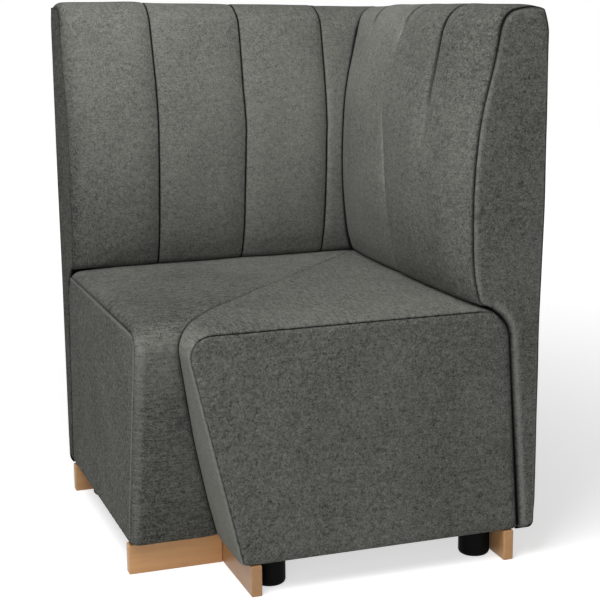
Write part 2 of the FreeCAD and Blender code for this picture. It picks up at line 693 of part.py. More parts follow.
def station_point(row, along, inset, fallen):
    """A point of the back's section: on the end profile, moved inwards by inset and down by the fall."""
    depth_share, front_share, roll_share, degrees, groove_share, crown_share, fall_share = row
    turn = math.radians(degrees)
    across = size("module_width") - depth_share * size("back_pad_depth") + inset * math.cos(turn)
    up = pad_start + front_share * front_part + roll_share * size("top_roll_height")
    up -= fallen * fall_share * size("top_fall") + inset * math.sin(turn)
    return Vector(across, along, up)


def channel_section(row, start, end, fullness, start_swell, end_swell):
    """Closed section of one channel across a station: straight inside, crowned outside."""
    groove_share, crown_share = row[4:6]
    groove = groove_share * size("groove_swell")
    crown = crown_share * fullness
    fall_from, fall_to = [along / size("module_width") for along in (start, end)]
    middle = (start + end) / 2
    depth = size("cover_thickness") + size("channel_overlap")
    inside_start = station_point(row, start, depth, 1)
    inside_end = station_point(row, end, depth, 1)
    outside_end = station_point(row, end, -groove * end_swell, fall_to)
    outside_start = station_point(row, start, -groove * start_swell, fall_from)
    middle_swell = groove * (start_swell + end_swell) / 2 + crown
    outside_middle = station_point(row, middle, -middle_swell, (fall_from + fall_to) / 2)
    return Part.Wire([straight(inside_start, inside_end), straight(inside_end, outside_end),
                      bent(outside_end, outside_middle, outside_start),
                      straight(outside_start, inside_start)])


def under_padding(along, inset, low):
    """Corners and edges of the line that the padding lies on, from the seat to the rear edge."""
    points = [station_point(row, along, inset, 1) for row in STATION_SHARES]
    points[0].z = low
    return points, [bent(*points[i:i + 3]) for i in range(0, len(points) - 1, 2)]


def core_wire(along, inset, low):
    """Closed section of the foam core, which hooks over the top of the back frame."""
    points, edges = under_padding(along, inset, low)
    rear_edge = size("back_height") - size("top_roll_height") * (1 - REAR_EDGE_SHARE)
    top = rear_edge - size("frame_top_gap")
    front = size("module_width") - size("frame_depth") - size("facing_thickness")
    corners = [points[-1], Vector(points[-1].x, along, top), Vector(front, along, top),
               Vector(front, along, low), points[0]]
    edges += [straight(*pair) for pair in zip(corners, corners[1:])]
    return Part.Wire(edges)


def trim_wire(along, inset, low):
    """Closed section of everything under the padding, which trims the raw channels."""
    points, edges = under_padding(along, inset, low)
    rear_foot = Vector(points[-1].x, along, low)
    edges += [straight(points[-1], rear_foot), straight(rear_foot, points[0])]
    return Part.Wire(edges)


core = Part.Face(core_wire(size("cover_thickness"), size("cover_thickness") + size("soft_clearance"),
                           pad_start)).extrude(Vector(0, run, 0))
both_wings(right_half("back_foam", solid_feature("back_foam_raw", core)), "back_foam")
trim = Part.Face(trim_wire(0, size("cover_thickness"), pad_start - size("overrun")))
core_trim = solid_feature("core_trim", trim.extrude(Vector(0, size("module_width") + size("overrun"), 0)))

# Each channel from the free end to the corner: its swell, and how much of the groove swell its two
# edges have. The last one runs into the inner corner and is cut on the mitre.
CREASE_GROOVE_SHARE = 0.3
CHANNELS = (
    (size("end_channel_crown"), 0, 1),
    (size("channel_crown"), 1, 1),
    (size("channel_crown"), 1, 1),
    (size("crease_crown"), 1, CREASE_GROOVE_SHARE),
)
pitch = (size("module_width") - size("corner_channel_width")) / (len(CHANNELS) - 1)
grooves = [pitch * number for number in range(1, len(CHANNELS))]
starts = [size("cover_thickness")] + grooves
ends = grooves + [size("module_width")]
for number, (start, end, channel) in enumerate(zip(starts, ends, CHANNELS), 1):
    wires = [channel_section(row, start, end, *channel) for row in STATION_SHARES]
    raw_channel = solid_feature("raw_channel_%d" % number, Part.makeLoft(wires, True, False))
    piece = boolean("Cut", "channel_%d" % number, raw_channel, core_trim)
    if number == len(CHANNELS):
        piece = right_half("channel_%d_mitred" % number, piece)
    both_wings(piece, "back_channel_%d" % number)


def back_end_wire(along, inset):
    """Outline of the back's end: pad profile, rear face, lower edge, open joint along the seat."""
    points = [station_point(row, along, inset, 0) for row in STATION_SHARES]
    edges = [bent(*points[i:i + 3]) for i in range(0, len(points) - 1, 2)]
    low = size("foot_height") + size("soft_clearance") + inset
    gap = size("contact_gap") + inset
    rear = points[-1].x
    turn = size("rear_round")
    rear_low = Vector(rear, along, low + turn)
    rear_middle = Vector(rear - turn * (1 - DIAGONAL_SHARE), along, low + turn * (1 - DIAGONAL_SHARE))
    rear_end = Vector(rear - turn, along, low)
    front_foot = Vector(rear_at(low) + gap, along, low)
    heel = size("module_width") - size("back_waist_depth") - size("seat_rear_radius")
    shoulder = size("seat_height") - size("seat_rear_radius")
    reach = size("seat_rear_radius") + gap
    waist = Vector(heel + reach, along, shoulder)
    bend = Vector(heel + reach * DIAGONAL_SHARE, along, shoulder + reach * DIAGONAL_SHARE)
    crest = Vector(heel, along, shoulder + reach)
    edges += [straight(points[-1], rear_low), bent(rear_low, rear_middle, rear_end),
              straight(rear_end, front_foot), straight(front_foot, waist), bent(waist, bend, crest),
              straight(crest, points[0])]
    return Part.Wire(edges)


both_wings(rounded_end(back_end_wire, "back_end_cover"), "back_end_cover")

REAR_SKIN = "(module_width - outer_cover_thickness)"
skin = box("rear_skin", REAR_SKIN, END_FACE, "foot_height + soft_clearance", "outer_cover_thickness",
           BOARD_LENGTH, "%s - foot_height - soft_clearance" % REAR_EDGE)
both_wings(right_half("back_outer_cover", skin), "back_outer_cover")

doc.recompute()
for thing in doc.Objects:
    if "Invalid" in thing.State or "Error" in thing.State:
        raise RuntimeError("%s failed: %s" % (thing.Label, thing.State))
for thing in nodes:
    if thing.Shape.isNull() or not thing.Shape.isValid() or not thing.Shape.Solids:
        raise RuntimeError("%s has no valid solid" % thing.Label)
os.makedirs("parts", exist_ok=True)
for thing in nodes:
    thing.Shape.exportStep(os.path.join("parts", thing.Label + ".step"))
    print("%-26s %d solids %10.0f mm3" % (thing.Label, len(thing.Shape.Solids), thing.Shape.Volume))
print(len(nodes), "nodes")
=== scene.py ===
"""Looks of a corner banquette: padded grey covers with sewn channels, wooden foot boards, black feet."""
import math

import bpy
import numpy as np
from mathutils import Matrix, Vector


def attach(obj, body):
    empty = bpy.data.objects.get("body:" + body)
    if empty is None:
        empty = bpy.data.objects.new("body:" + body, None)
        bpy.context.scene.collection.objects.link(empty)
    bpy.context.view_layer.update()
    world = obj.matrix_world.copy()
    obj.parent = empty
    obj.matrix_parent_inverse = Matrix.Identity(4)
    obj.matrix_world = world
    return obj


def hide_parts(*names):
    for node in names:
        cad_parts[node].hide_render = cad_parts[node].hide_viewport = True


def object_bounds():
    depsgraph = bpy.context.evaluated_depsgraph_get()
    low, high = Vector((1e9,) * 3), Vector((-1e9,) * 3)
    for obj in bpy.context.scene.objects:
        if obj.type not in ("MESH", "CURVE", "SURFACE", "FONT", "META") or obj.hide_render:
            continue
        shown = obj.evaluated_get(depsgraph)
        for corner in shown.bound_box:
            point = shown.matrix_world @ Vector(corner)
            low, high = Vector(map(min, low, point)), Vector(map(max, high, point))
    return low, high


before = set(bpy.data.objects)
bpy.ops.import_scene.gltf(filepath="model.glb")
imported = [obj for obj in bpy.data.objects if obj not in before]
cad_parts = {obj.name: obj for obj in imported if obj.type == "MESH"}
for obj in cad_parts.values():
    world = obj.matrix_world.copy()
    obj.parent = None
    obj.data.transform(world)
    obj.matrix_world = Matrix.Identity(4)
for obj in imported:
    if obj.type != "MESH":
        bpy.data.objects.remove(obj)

cad_low, cad_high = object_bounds()
scene = bpy.context.scene


# Camera: stands in front of the left wing and looks down into the corner with a long lens. Its place
# is in metres, and its frame is 36 mm wide.
CAMERA_PLACE = (-0.898, -2.655, 1.035)
CAMERA_TURN = math.radians(19.32)
CAMERA_DIP = math.radians(12.25)
CAMERA_ROLL = math.radians(-0.52)
FOCAL_LENGTH = 92.12

lens = bpy.data.cameras.new("camera")
lens.lens = FOCAL_LENGTH
lens.sensor_width = 36.0
lens.sensor_fit = "HORIZONTAL"
camera = bpy.data.objects.new("camera", lens)
camera.matrix_world = (Matrix.Translation(CAMERA_PLACE) @ Matrix.Rotation(-CAMERA_TURN, 4, "Z")
                       @ Matrix.Rotation(math.pi / 2 - CAMERA_DIP, 4, "X")
                       @ Matrix.Rotation(CAMERA_ROLL, 4, "Z"))
scene.collection.objects.link(camera)
scene.camera = camera
scene.view_settings.view_transform = "Standard"


# Studio: a pale floor without a horizon, two soft lamps above the open side of the corner and a wide
# low one in front. The world and the far floor are white where they are seen, but weak as light.
FLOOR_HALF_WIDTH = 6.0
FLOOR_COLOR = (0.78, 0.78, 0.78, 1)
NEAR_FLOOR = {"From Min": 0.5, "To Min": 0.62}
FAR_FLOOR = {"From Max": 3.5, "To Max": 1.0}
AMBIENT = 0.1
LAMPS = {
    "corner_lamp": {"place": (-0.4, -0.4, 2.2), "width": 1.2, "power": 14.5},
    "front_left_lamp": {"place": (-1.0, -1.0, 2.0), "width": 1.2, "power": 28.0},
    "low_front_lamp": {"place": (-1.5, -3.0, 1.0), "width": 2.0, "power": 24.5},
}


def add_node(tree, kind, inputs=(), **settings):
    """A shader node with its settings; inputs pairs names or numbers of its sockets with values or
    with outputs of other nodes."""
    node = tree.nodes.new(kind)
    for name, value in settings.items():
        setattr(node, name, value)
    for socket, value in dict(inputs).items():
        if isinstance(value, bpy.types.NodeSocket):
            tree.links.new(value, node.inputs[socket])
        else:
            node.inputs[socket].default_value = value
    return node


def new_material(name):
    """An empty node material and its node tree."""
    material = bpy.data.materials.new(name)
    material.use_nodes = True
    material.node_tree.nodes.clear()
    return material, material.node_tree


def soft_lamp(name, place, width, power):
    """A square area lamp that looks at the middle of the object."""
    data = bpy.data.lights.new(name, "AREA")
    data.shape = "SQUARE"
    data.size = width
    data.energy = power
    lamp = bpy.data.objects.new(name, data)
    middle = (cad_low + cad_high) / 2
    lamp.location = place
    lamp.rotation_euler = (middle - lamp.location).to_track_quat("-Z", "Y").to_euler()
    scene.collection.objects.link(lamp)


def math_node(tree, operation, *values):
    """The value of a Math node; each input is a number or the output of another node."""
    return add_node(tree, "ShaderNodeMath", enumerate(values), operation=operation).outputs["Value"]


def is_seen(tree):
    """1 for what the camera sees, straight or through gloss or glass, and 0 for what gives light."""
    rays = add_node(tree, "ShaderNodeLightPath").outputs
    seen = math_node(tree, "MAXIMUM", rays["Is Camera Ray"], rays["Is Glossy Ray"])
    return math_node(tree, "MAXIMUM", seen, rays["Is Transmission Ray"])


for name, lamp in LAMPS.items():
    soft_lamp(name, **lamp)

world = bpy.data.worlds.new("studio")
world.use_nodes = True
tree = world.node_tree
tree.nodes.clear()
level = add_node(tree, "ShaderNodeMapRange", {"Value": is_seen(tree), "To Min": AMBIENT, "To Max": 1.0})
sky = add_node(tree, "ShaderNodeBackground", {"Color": (1, 1, 1, 1), "Strength": level.outputs["Result"]})
add_node(tree, "ShaderNodeOutputWorld", {"Surface": sky.outputs["Background"]})
scene.world = world

floor_mesh = bpy.data.meshes.new("floor")
corners = ((-1, -1), (1, -1), (1, 1), (-1, 1))
floor_mesh.from_pydata([(x * FLOOR_HALF_WIDTH, y * FLOOR_HALF_WIDTH, 0) for x, y in corners],
                       [], [(0, 1, 2, 3)])
floor = bpy.data.objects.new("floor", floor_mesh)
scene.collection.objects.link(floor)
floor_material, tree = new_material("pale_floor")
floor_place = add_node(tree, "ShaderNodeTexCoord").outputs["Object"]
from_middle = add_node(tree, "ShaderNodeVectorMath", {0: floor_place}, operation="LENGTH").outputs["Value"]
lift = add_node(tree, "ShaderNodeMapRange", {"Value": from_middle, **NEAR_FLOOR, **FAR_FLOOR},
                interpolation_type="SMOOTHSTEP")
glow = math_node(tree, "MULTIPLY", is_seen(tree), lift.outputs["Result"])
both = add_node(tree, "ShaderNodeAddShader", {
    0: add_node(tree, "ShaderNodeBsdfDiffuse", {"Color": FLOOR_COLOR}).outputs["BSDF"],
    1: add_node(tree, "ShaderNodeEmission", {"Strength": glow}).outputs["Emission"]})
add_node(tree, "ShaderNodeOutputMaterial", {"Surface": both.outputs["Shader"]})
floor_mesh.materials.append(floor_material)


# Upholstery cloth: brushed grey cloth with lighter and darker fibres felted together, and faint
# streaks along the weft. Two point attributes of each piece paint light and shade into its colour:
# one lightens or darkens the cloth where light and sheen fall, with painted highlights along rounded
# edges, and one darkens it towards black as painted shade in seams, clefts and joints.
MOTTLE_PER_METRE = 120.0
CLOUD_PER_METRE = MOTTLE_PER_METRE / 14
FIBRE_PER_METRE = 420.0
HAIR_PER_METRE = 170.0
HAIR_THINNESS = 16.0
STREAK_PER_METRE = 260.0
STREAK_STRETCH = (0.12, 1, 1)
THREAD_PER_METRE = 1100.0
CLOTH_BUMP = (0.5, 0.0007)
# Near black that the painted shade in seams, clefts and joints mixes into the cloth.
PAINTED_SHADE_COLOR = (0.004, 0.004, 0.004, 1)


def pattern_group(name, inputs):
    """A node group with named inputs that gives Color and Height, and its own ends."""
    group = bpy.data.node_groups.new(name, "ShaderNodeTree")
    sockets = [("INPUT", socket, kind) for socket, kind in inputs.items()]
    for direction, socket, kind in sockets + [("OUTPUT", "Color", "Color"), ("OUTPUT", "Height", "Float")]:
        group.interface.new_socket(name=socket, in_out=direction, socket_type="NodeSocket" + kind)
    return group, group.nodes.new("NodeGroupInput").outputs, group.nodes.new("NodeGroupOutput").inputs


def noise(tree, vector, scale, detail, roughness, distortion=0.0):
    """A noise texture on the given vector."""
    return add_node(tree, "ShaderNodeTexNoise", {
        "Vector": vector, "Scale": scale, "Detail": detail, "Roughness": roughness,
        "Distortion": distortion}).outputs["Fac"]


def mapped(tree, vector, setting, value):
    """The vector turned, or scaled differently along its axes so that a pattern is drawn out."""
    return add_node(tree, "ShaderNodeMapping", {"Vector": vector, setting: value}).outputs["Vector"]


def weighted_sum(tree, total, *terms):
    """The total plus each output times its weight."""
    for output, weight in terms:
        total = math_node(tree, "MULTIPLY_ADD", output, weight, total)
    return total


def color_between(tree, share, first, second):
    """The colour a share of the way between two, each a colour or the output of another node."""
    mix = add_node(tree, "ShaderNodeMix", {"Factor": share, "A": first, "B": second}, data_type="RGBA")
    return mix.outputs["Result"]


def toned(color, factor=1):
    """A colour times a factor, with the fourth number that a node's colour has."""
    return [*(factor * value for value in color), 1]


def add_surface(tree, color, height, bump_strength, bump_distance, settings):
    """A Principled shader of this colour with a bump and with the settings on its own sockets."""
    bump = add_node(tree, "ShaderNodeBump", {
        "Height": height, "Strength": bump_strength, "Distance": bump_distance})
    shader = add_node(tree, "ShaderNodeBsdfPrincipled", {
        "Base Color": color, "Normal": bump.outputs["Normal"], **settings})
    add_node(tree, "ShaderNodeOutputMaterial", {"Surface": shader.outputs["BSDF"]})


cloth_group, given, result = pattern_group("heathered_cloth", {
    "Cloth": "Vector", "Place": "Vector", "Dark": "Color", "Light": "Color",
    "Streaks": "Float", "PaintedLight": "Float", "Contrast": "Float"})
tree, cloth, place = cloth_group, given["Cloth"], given["Place"]
mottle = noise(tree, place, MOTTLE_PER_METRE, 4.0, 0.6, 0.8)
cloud = noise(tree, place, CLOUD_PER_METRE, 2.0, 0.5)
fibre = noise(tree, place, FIBRE_PER_METRE, 2.0, 0.6, 1.6)
hair = math_node(tree, "SUBTRACT", noise(tree, place, HAIR_PER_METRE, 2.0, 0.5, 1.5), 0.5)
hair = math_node(tree, "MULTIPLY_ADD", math_node(tree, "ABSOLUTE", hair), -HAIR_THINNESS, 1.0)
hair = math_node(tree, "MAXIMUM", hair, 0.0)
streak = noise(tree, mapped(tree, cloth, "Scale", STREAK_STRETCH), STREAK_PER_METRE, 4.0, 0.65)
streak = math_node(tree, "SUBTRACT", streak, 0.5)
# A wave texture has 10 / pi waves a metre per unit of its scale, and a wave spans two threads.
waves = {"Vector": cloth, "Scale": THREAD_PER_METRE / 20 * math.pi, "Distortion": 1.5, "Detail": 1.0}
warp, weft = (add_node(tree, "ShaderNodeTexWave", waves, bands_direction=axis).outputs["Fac"]
              for axis in "XY")
weave = math_node(tree, "MULTIPLY", warp, weft)
tone = weighted_sum(tree, -1.54, (mottle, 0.8), (fibre, 1.9), (hair, 0.22), (cloud, 0.25),
                    (streak, given["Streaks"]))
# The painted light input moves the tone lighter or darker.
tone = math_node(tree, "MULTIPLY_ADD", tone, given["Contrast"], math_node(tree, "ADD", given["PaintedLight"], 0.5))
tree.links.new(color_between(tree, tone, given["Dark"], given["Light"]), result["Color"])
tree.links.new(weighted_sum(tree, mottle, (weave, 0.45), (fibre, 0.5), (hair, 0.2)), result["Height"])


def cloth_material(name, dark, light, streaks, contrast):
    """Upholstery cloth on the piece's own UV map, which is in metres along and across the weft."""
    material, tree = new_material(name)
    coordinates = add_node(tree, "ShaderNodeTexCoord").outputs
    # Painted shade in the seams and painted light and shade over the cloth, from two point attributes.
    seam, painted_light = (add_node(tree, "ShaderNodeAttribute", attribute_name=mark).outputs["Fac"]
                 for mark in ("seam", "painted_light"))
    pattern = add_node(tree, "ShaderNodeGroup", {
        "Cloth": coordinates["UV"], "Place": coordinates["Object"], "Dark": toned(dark),
        "Light": toned(light), "Streaks": streaks, "PaintedLight": painted_light, "Contrast": contrast},
        node_tree=cloth_group).outputs
    # Painted shade: the colour goes towards near black where the seam attribute is high.
    color = color_between(tree, seam, pattern["Color"], PAINTED_SHADE_COLOR)
    add_surface(tree, color, pattern["Height"], *CLOTH_BUMP, {
        "Roughness": 1.0, "Specular IOR Level": 0.02, "Sheen Weight": 0.015, "Sheen Roughness": 0.5})
    return material


# The dark and the light fibres' colour, how strong the streaks are, and the contrast. The colours
# differ by part and wing as painted light: lighter and darker copies of one cloth for the light and
# sheen that each part gets.
CLOTHS = {
    "seat": {"right": ((0.02, 0.0203, 0.0182), (0.22, 0.2235, 0.2), 0.9, 1.0),
             "left": ((0.019, 0.0193, 0.0173), (0.211, 0.214, 0.192), 1.0, 1.0)},
    "back": {"right": ((0.023, 0.0233, 0.0208), (0.25, 0.254, 0.228), 0.4, 0.85),
             "left": ((0.022, 0.0223, 0.02), (0.257, 0.261, 0.234), 0.4, 0.74)},
    "end": {"right": ((0.019, 0.0193, 0.0173), (0.221, 0.2244, 0.2012), 0.4, 1.1),
            "left": ((0.019, 0.0193, 0.0173), (0.242, 0.2456, 0.2202), 0.4, 1.3)},
}
seat_cloth, back_cloth, end_cloth = (
    {wing: cloth_material("%s_cloth_%s" % (part, wing), *look) for wing, look in looks.items()}
    for part, looks in CLOTHS.items())


# Seat pads: cloth over a padded foam block on the plywood deck, drawn tight over the nose and down
# the slanted front, sewn to the end panel and to the other seat on the mitre.
FOOT_HEIGHT = 0.0553
SEAT_HEIGHT = 0.461
TOE_SETBACK = 0.155
NOSE_SETBACK = 0.072
NOSE_HEIGHT = 0.413
NOSE_RADIUS = 0.039
BOTTOM_ROLL = 0.009
REAR_RADIUS = 0.058
SHOULDER = SEAT_HEIGHT - REAR_RADIUS
MODULE_WIDTH = 0.700
BACK_FOOT_DEPTH = 0.034
BACK_WAIST_DEPTH = 0.059
DECK_TOP = 0.3702
COVER_THICKNESS = 0.012
END_CLEARANCE = 0.0005
INNER_CLEARANCE = 0.003
FRONT_CROWN = 0.008
TOP_CROWN = 0.0095
CROWN_RUN = 0.05
CROWN_POWER = 1.1
NOSE_DROP = 0.012
HEEL_LENGTH = 0.125
INNER_START = 0.06
SEAM_PLACES = {"right": 0.004, "left": 0.0008}
SEAM_GAP = 0.0004
CLEFT = 0.003
SEAT_PHASES = {"right": 0.4, "left": 1.9}
SEAT_RIPPLE = 0.0005
SEAT_PUCKER = 0.00035
SEAT_END_ROLL = {"right": (0.007, 0.005), "left": (0.017, 0.012)}
# Painted shade along the seams: its strength on the front and on top, how much it fades along the top, and
# its reach.
SEAT_SEAM_SHADE_STRENGTHS = {"right": (0.8, 1.0), "left": (0.03, 0.8)}
SEAT_SEAM_FADE = {"right": 0.0, "left": 0.4}
SEAT_SEAM_SHADE = 0.0006
# Painted light and shade on each seat pad along its section, a painted highlight on the left's front corner,
# and lighter cloth beside the left's mitre.
SEAT_PAINTED_LIGHT = {"right": (0.53, 0.46, 0.43, -0.09, 0.16), "left": (-0.13, -0.03, 0.19, -0.16, 0.09)}
CORNER_HIGHLIGHT = {"right": 0.0, "left": 0.2}
MITRE_PAINTED_LIGHT = {"right": 0.0, "left": 0.13}
MITRE_ROLL = (0.010, 0.004)
MITRE_VALLEY = (0.0022, 0.022)
# Strength and reach of the painted shade along the mitre, on the front and on top.
MITRE_SHADES = ((1.0, 0.25), (0.0026, 0.0006))
RIPPLE_WAVES = ((31, 17, 1), (-23, 41, 2.1), (53, 9, 3.7))
PUCKER_RATES = (390, 71, 223)
PUCKER_WEIGHTS = (1.7, 0.6)
PUCKER_REACH = 0.011
PATH_STEP = 0.005
ARC_POINTS = 33
SEAT_COLUMNS = 96
EVEN_SHARE = 0.1
SHARP_EDGE = math.radians(50)
WINGS = ("right", "left")
# Places of changes along the section, counted from where the nose ends.
STRENGTH_RUNS = (-0.02, 0.02)
MITRE_RUNS = (-0.05, 0.01)
PAINTED_LIGHT_RUNS = (-0.12, -0.03, 0.03)
# Start and length of a smooth step, or middle and width of a bell.
CROWN_RISE = (-0.02, 0.10)
CROWN_FALL = (-0.03, 0.13)
RIPPLE_RISE = (0, 0.03)
SEAM_FADE_RUN = (0, 0.3)
CORNER_HIGHLIGHT_FALL = (0, 0.03)
CORNER_HIGHLIGHT_BELL = (0.009, 0.007)
MITRE_PAINTED_LIGHT_RISES = ((0.2, 0.2), (0, 0.05))


def smooth(value, start, length):
    """0 up to start, 1 from a length further on, and 3 t^2 - 2 t^3 at a share t of that length."""
    t = np.clip((value - start) / length, 0, 1)
    return t * t * (3 - 2 * t)


def bell(value, middle, width):
    """e to the minus square of the distance from the middle in widths."""
    return np.exp(-((value - middle) / width) ** 2)


def blend(low, high, share):
    """The value a share of the way from low to high."""
    return low + (high - low) * share


def run_length(points):
    """Distance along a line of points, from its first point to each."""
    return np.concatenate([[0], np.cumsum(np.linalg.norm(np.diff(points, axis=0), axis=1))])


def resampled(points, step):
    """The same line with points about step apart."""
    run = run_length(points)
    at = np.linspace(0, run[-1], int(round(run[-1] / step)) + 1)
    return np.stack([np.interp(at, run, points[:, axis]) for axis in range(points.shape[1])], -1)


def rounded_path(corners, radii, step):
    """Points about step apart on a line through corners, whose inner corners are arcs.

    An arc of radius r in a corner of angle a has its centre r / sin(a / 2) from the corner.
    """
    corners = np.array(corners, float)
    pieces = [corners[:1]]
    for before, corner, after, radius in zip(corners, corners[1:], corners[2:], radii):
        back = (before - corner) / np.linalg.norm(before - corner)
        ahead = (after - corner) / np.linalg.norm(after - corner)
        half = math.acos(float(back @ ahead)) / 2
        inward = (back + ahead) / np.linalg.norm(back + ahead)
        sideways = (ahead - back) / np.linalg.norm(ahead - back)
        turn = np.linspace(half - math.pi / 2, math.pi / 2 - half, ARC_POINTS)[:, None]
        centre = corner + inward * radius / math.sin(half)
        pieces.append(centre + radius * (np.sin(turn) * sideways - np.cos(turn) * inward))
    pieces.append(corners[-1:])
    return resampled(np.concatenate(pieces), step)


def outward(points):
    """Unit normals of a line in across and up, on its left side."""
    along = np.gradient(points, axis=0)
    along /= np.linalg.norm(along, axis=1, keepdims=True)
    return np.stack([-along[:, 1], along[:, 0]], -1)


def front_at(height):
    """The slanted seat front at a height: a straight line from the toe to the nose."""
    return TOE_SETBACK - (TOE_SETBACK - NOSE_SETBACK) * (height - FOOT_HEIGHT) / (NOSE_HEIGHT - FOOT_HEIGHT)


def rear_at(height):
    """The slanted rear of the seat at a height."""
    lean = (BACK_WAIST_DEPTH - BACK_FOOT_DEPTH) / (SHOULDER - FOOT_HEIGHT)
    return MODULE_WIDTH - BACK_FOOT_DEPTH - lean * (height - FOOT_HEIGHT)


def seam_to_seam(start, end, start_roll, end_roll, middle_count, roll_count=8):
    """Columns between two seams: places, and the share sunk in the roll at each.

    In a roll of width w the place is w (1 - cos t) from the seam and the share sunk is 1 - sin t.
    """
    turn = np.linspace(0, math.pi / 2, roll_count)
    ones = np.ones_like(start)[:, None]
    first = start[:, None] + start_roll * (1 - np.cos(turn))
    last = end[:, None] - end_roll * (1 - np.cos(turn))[::-1]
    share = np.linspace(0, 1, middle_count + 2)[1:-1]
    middle = blend(first[:, -1:], last[:, :1], share)
    places = np.concatenate([first, middle, last], 1)
    none = np.zeros((len(start), middle_count))
    first_sunk = np.concatenate([(1 - np.sin(turn)) * ones, none, 0 * last], 1)
    last_sunk = np.concatenate([0 * first, none, (1 - np.sin(turn))[::-1] * ones], 1)
    return places, first_sunk, last_sunk


def widened(grid, first, last):
    """A grid with a column on each side: its first column plus first, and its last plus last."""
    return np.concatenate([grid[:, :1] + first, grid, grid[:, -1:] + last], 1)


def behind(places, last):
    """Places of the inner skin's columns: those of the outer skin from its first column to last, and
    a little more evenly spaced."""
    share = np.clip((places - places[:, :1]) / (places[:, -1:] - places[:, :1]), 0, 1)
    share = (1 - EVEN_SHARE) * share + EVEN_SHARE * np.linspace(0, 1, places.shape[1])
    return places[:, :1] + share * (last[:, None] - places[:, :1])


def wing_points(across, along, up, wing):
    """Points of a wing: across from the seat's front to the rear face, along from the free end to the
    corner. The left wing is the mirror image in x = y."""
    across, along, up = np.broadcast_arrays(across, along, up)
    pair = (across, along) if wing == "right" else (along, across)
    return np.stack([pair[0] + cad_low.x, pair[1] + cad_low.y, up], -1)


def on_cloth(places, run):
    """Places on the cloth: along each row, and each row's run."""
    return np.stack(np.broadcast_arrays(places, run[:, None]), -1)


def round_of(grid):
    """What a grid holds along its edge, as one closed loop."""
    return np.concatenate([grid[:, 0], grid[-1, 1:], grid[-2::-1, -1], grid[0, -2:0:-1]])


def shell(name, outer, inner, cloth, shade, wing, material, painted_light=0):
    """A closed piece from two grids of points: the outer skin, the inner skin and the rim between.

    cloth gives each point's place on the cloth in metres, which becomes the UV map, shade is painted
    shade from 0 to 1 that darkens a point of the outer skin towards black in seams, clefts and
    joints, and nap is painted light and shade that makes the cloth lighter or darker there. The inner
    skin is painted fully dark.
    """
    count = shade.size
    index = np.arange(count).reshape(shade.shape)
    face = np.stack([index[:-1, :-1], index[1:, :-1], index[1:, 1:], index[:-1, 1:]], -1).reshape(-1, 4)
    rim = round_of(index)
    after = np.roll(rim, -1)
    wall = np.stack([after, rim, rim + count, after + count], -1)
    faces = np.concatenate([face, wall, face[:, ::-1] + count])
    if wing == "left":
        faces = faces[:, ::-1]
    mesh = bpy.data.meshes.new(name)
    mesh.from_pydata(np.concatenate([outer.reshape(-1, 3), inner.reshape(-1, 3)]), [], faces)
    spread = np.concatenate([cloth.reshape(-1, 2)] * 2)
    layer = mesh.uv_layers.new(name="cloth")
    layer.data.foreach_set("uv", spread[faces.ravel()].astype(np.float32).ravel())
    # Painted shade in the seams and painted light and shade over the cloth, as two point attributes.
    marks = {"seam": [shade, np.ones_like(shade)], "painted_light": [np.broadcast_to(painted_light, shade.shape)] * 2}
    for mark, skins in marks.items():
        attribute = mesh.attributes.new(mark, "FLOAT", "POINT")
        attribute.data.foreach_set("value", np.stack(skins).astype(np.float32).ravel())
    mesh.shade_smooth()
    mesh.set_sharp_from_angle(angle=SHARP_EDGE)
    mesh.materials.append(material)
    piece = bpy.data.objects.new(name, mesh)
    scene.collection.objects.link(piece)
    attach(piece, "root")
    return piece


def ripple(along, across, phase):
    """Slight unevenness of padding under cloth: the mean of three long waves, from -1 to 1."""
    waves = (np.sin(a * along + b * across + c * phase) for a, b, c in RIPPLE_WAVES)
    return sum(waves) / len(RIPPLE_WAVES)


def pucker(run, distance, phase):
    """Small gathers beside a seam: two waves along it, the first of them drifting with a slower one.
    They die out as e to the minus distance over about a centimetre."""
    rate, slow_rate, second_rate = PUCKER_RATES
    drift, second = PUCKER_WEIGHTS
    wave = np.sin(rate * run + phase + drift * np.sin(slow_rate * run + phase))
    wave = wave + second * np.sin(second_rate * run + 2 * phase)
    return wave * np.exp(-distance / PUCKER_REACH)


section = rounded_path([(front_at(FOOT_HEIGHT) + COVER_THICKNESS, FOOT_HEIGHT),
                        (front_at(FOOT_HEIGHT), FOOT_HEIGHT), (front_at(SEAT_HEIGHT), SEAT_HEIGHT),
                        (rear_at(SHOULDER), SEAT_HEIGHT), (rear_at(DECK_TOP), DECK_TOP)],
                       [BOTTOM_ROLL, NOSE_RADIUS, REAR_RADIUS], PATH_STEP)
section_run = run_length(section)
section_normal = outward(section)
nose_run = section_run[int(np.argmax(section[:, 1] > SEAT_HEIGHT - NOSE_DROP))]
from_nose = section_run - nose_run
from_heel = section_run - (section_run[-1] - HEEL_LENGTH)
on_front = from_nose < 0
front_share = np.where(on_front, (section[:, 1] - FOOT_HEIGHT) / (NOSE_HEIGHT - FOOT_HEIGHT), 1)
section_crown = (FRONT_CROWN * np.sin(math.pi * np.clip(front_share, 0, 1))
                 + TOP_CROWN * smooth(from_nose, *CROWN_RISE) * (1 - smooth(from_heel, *CROWN_FALL)))
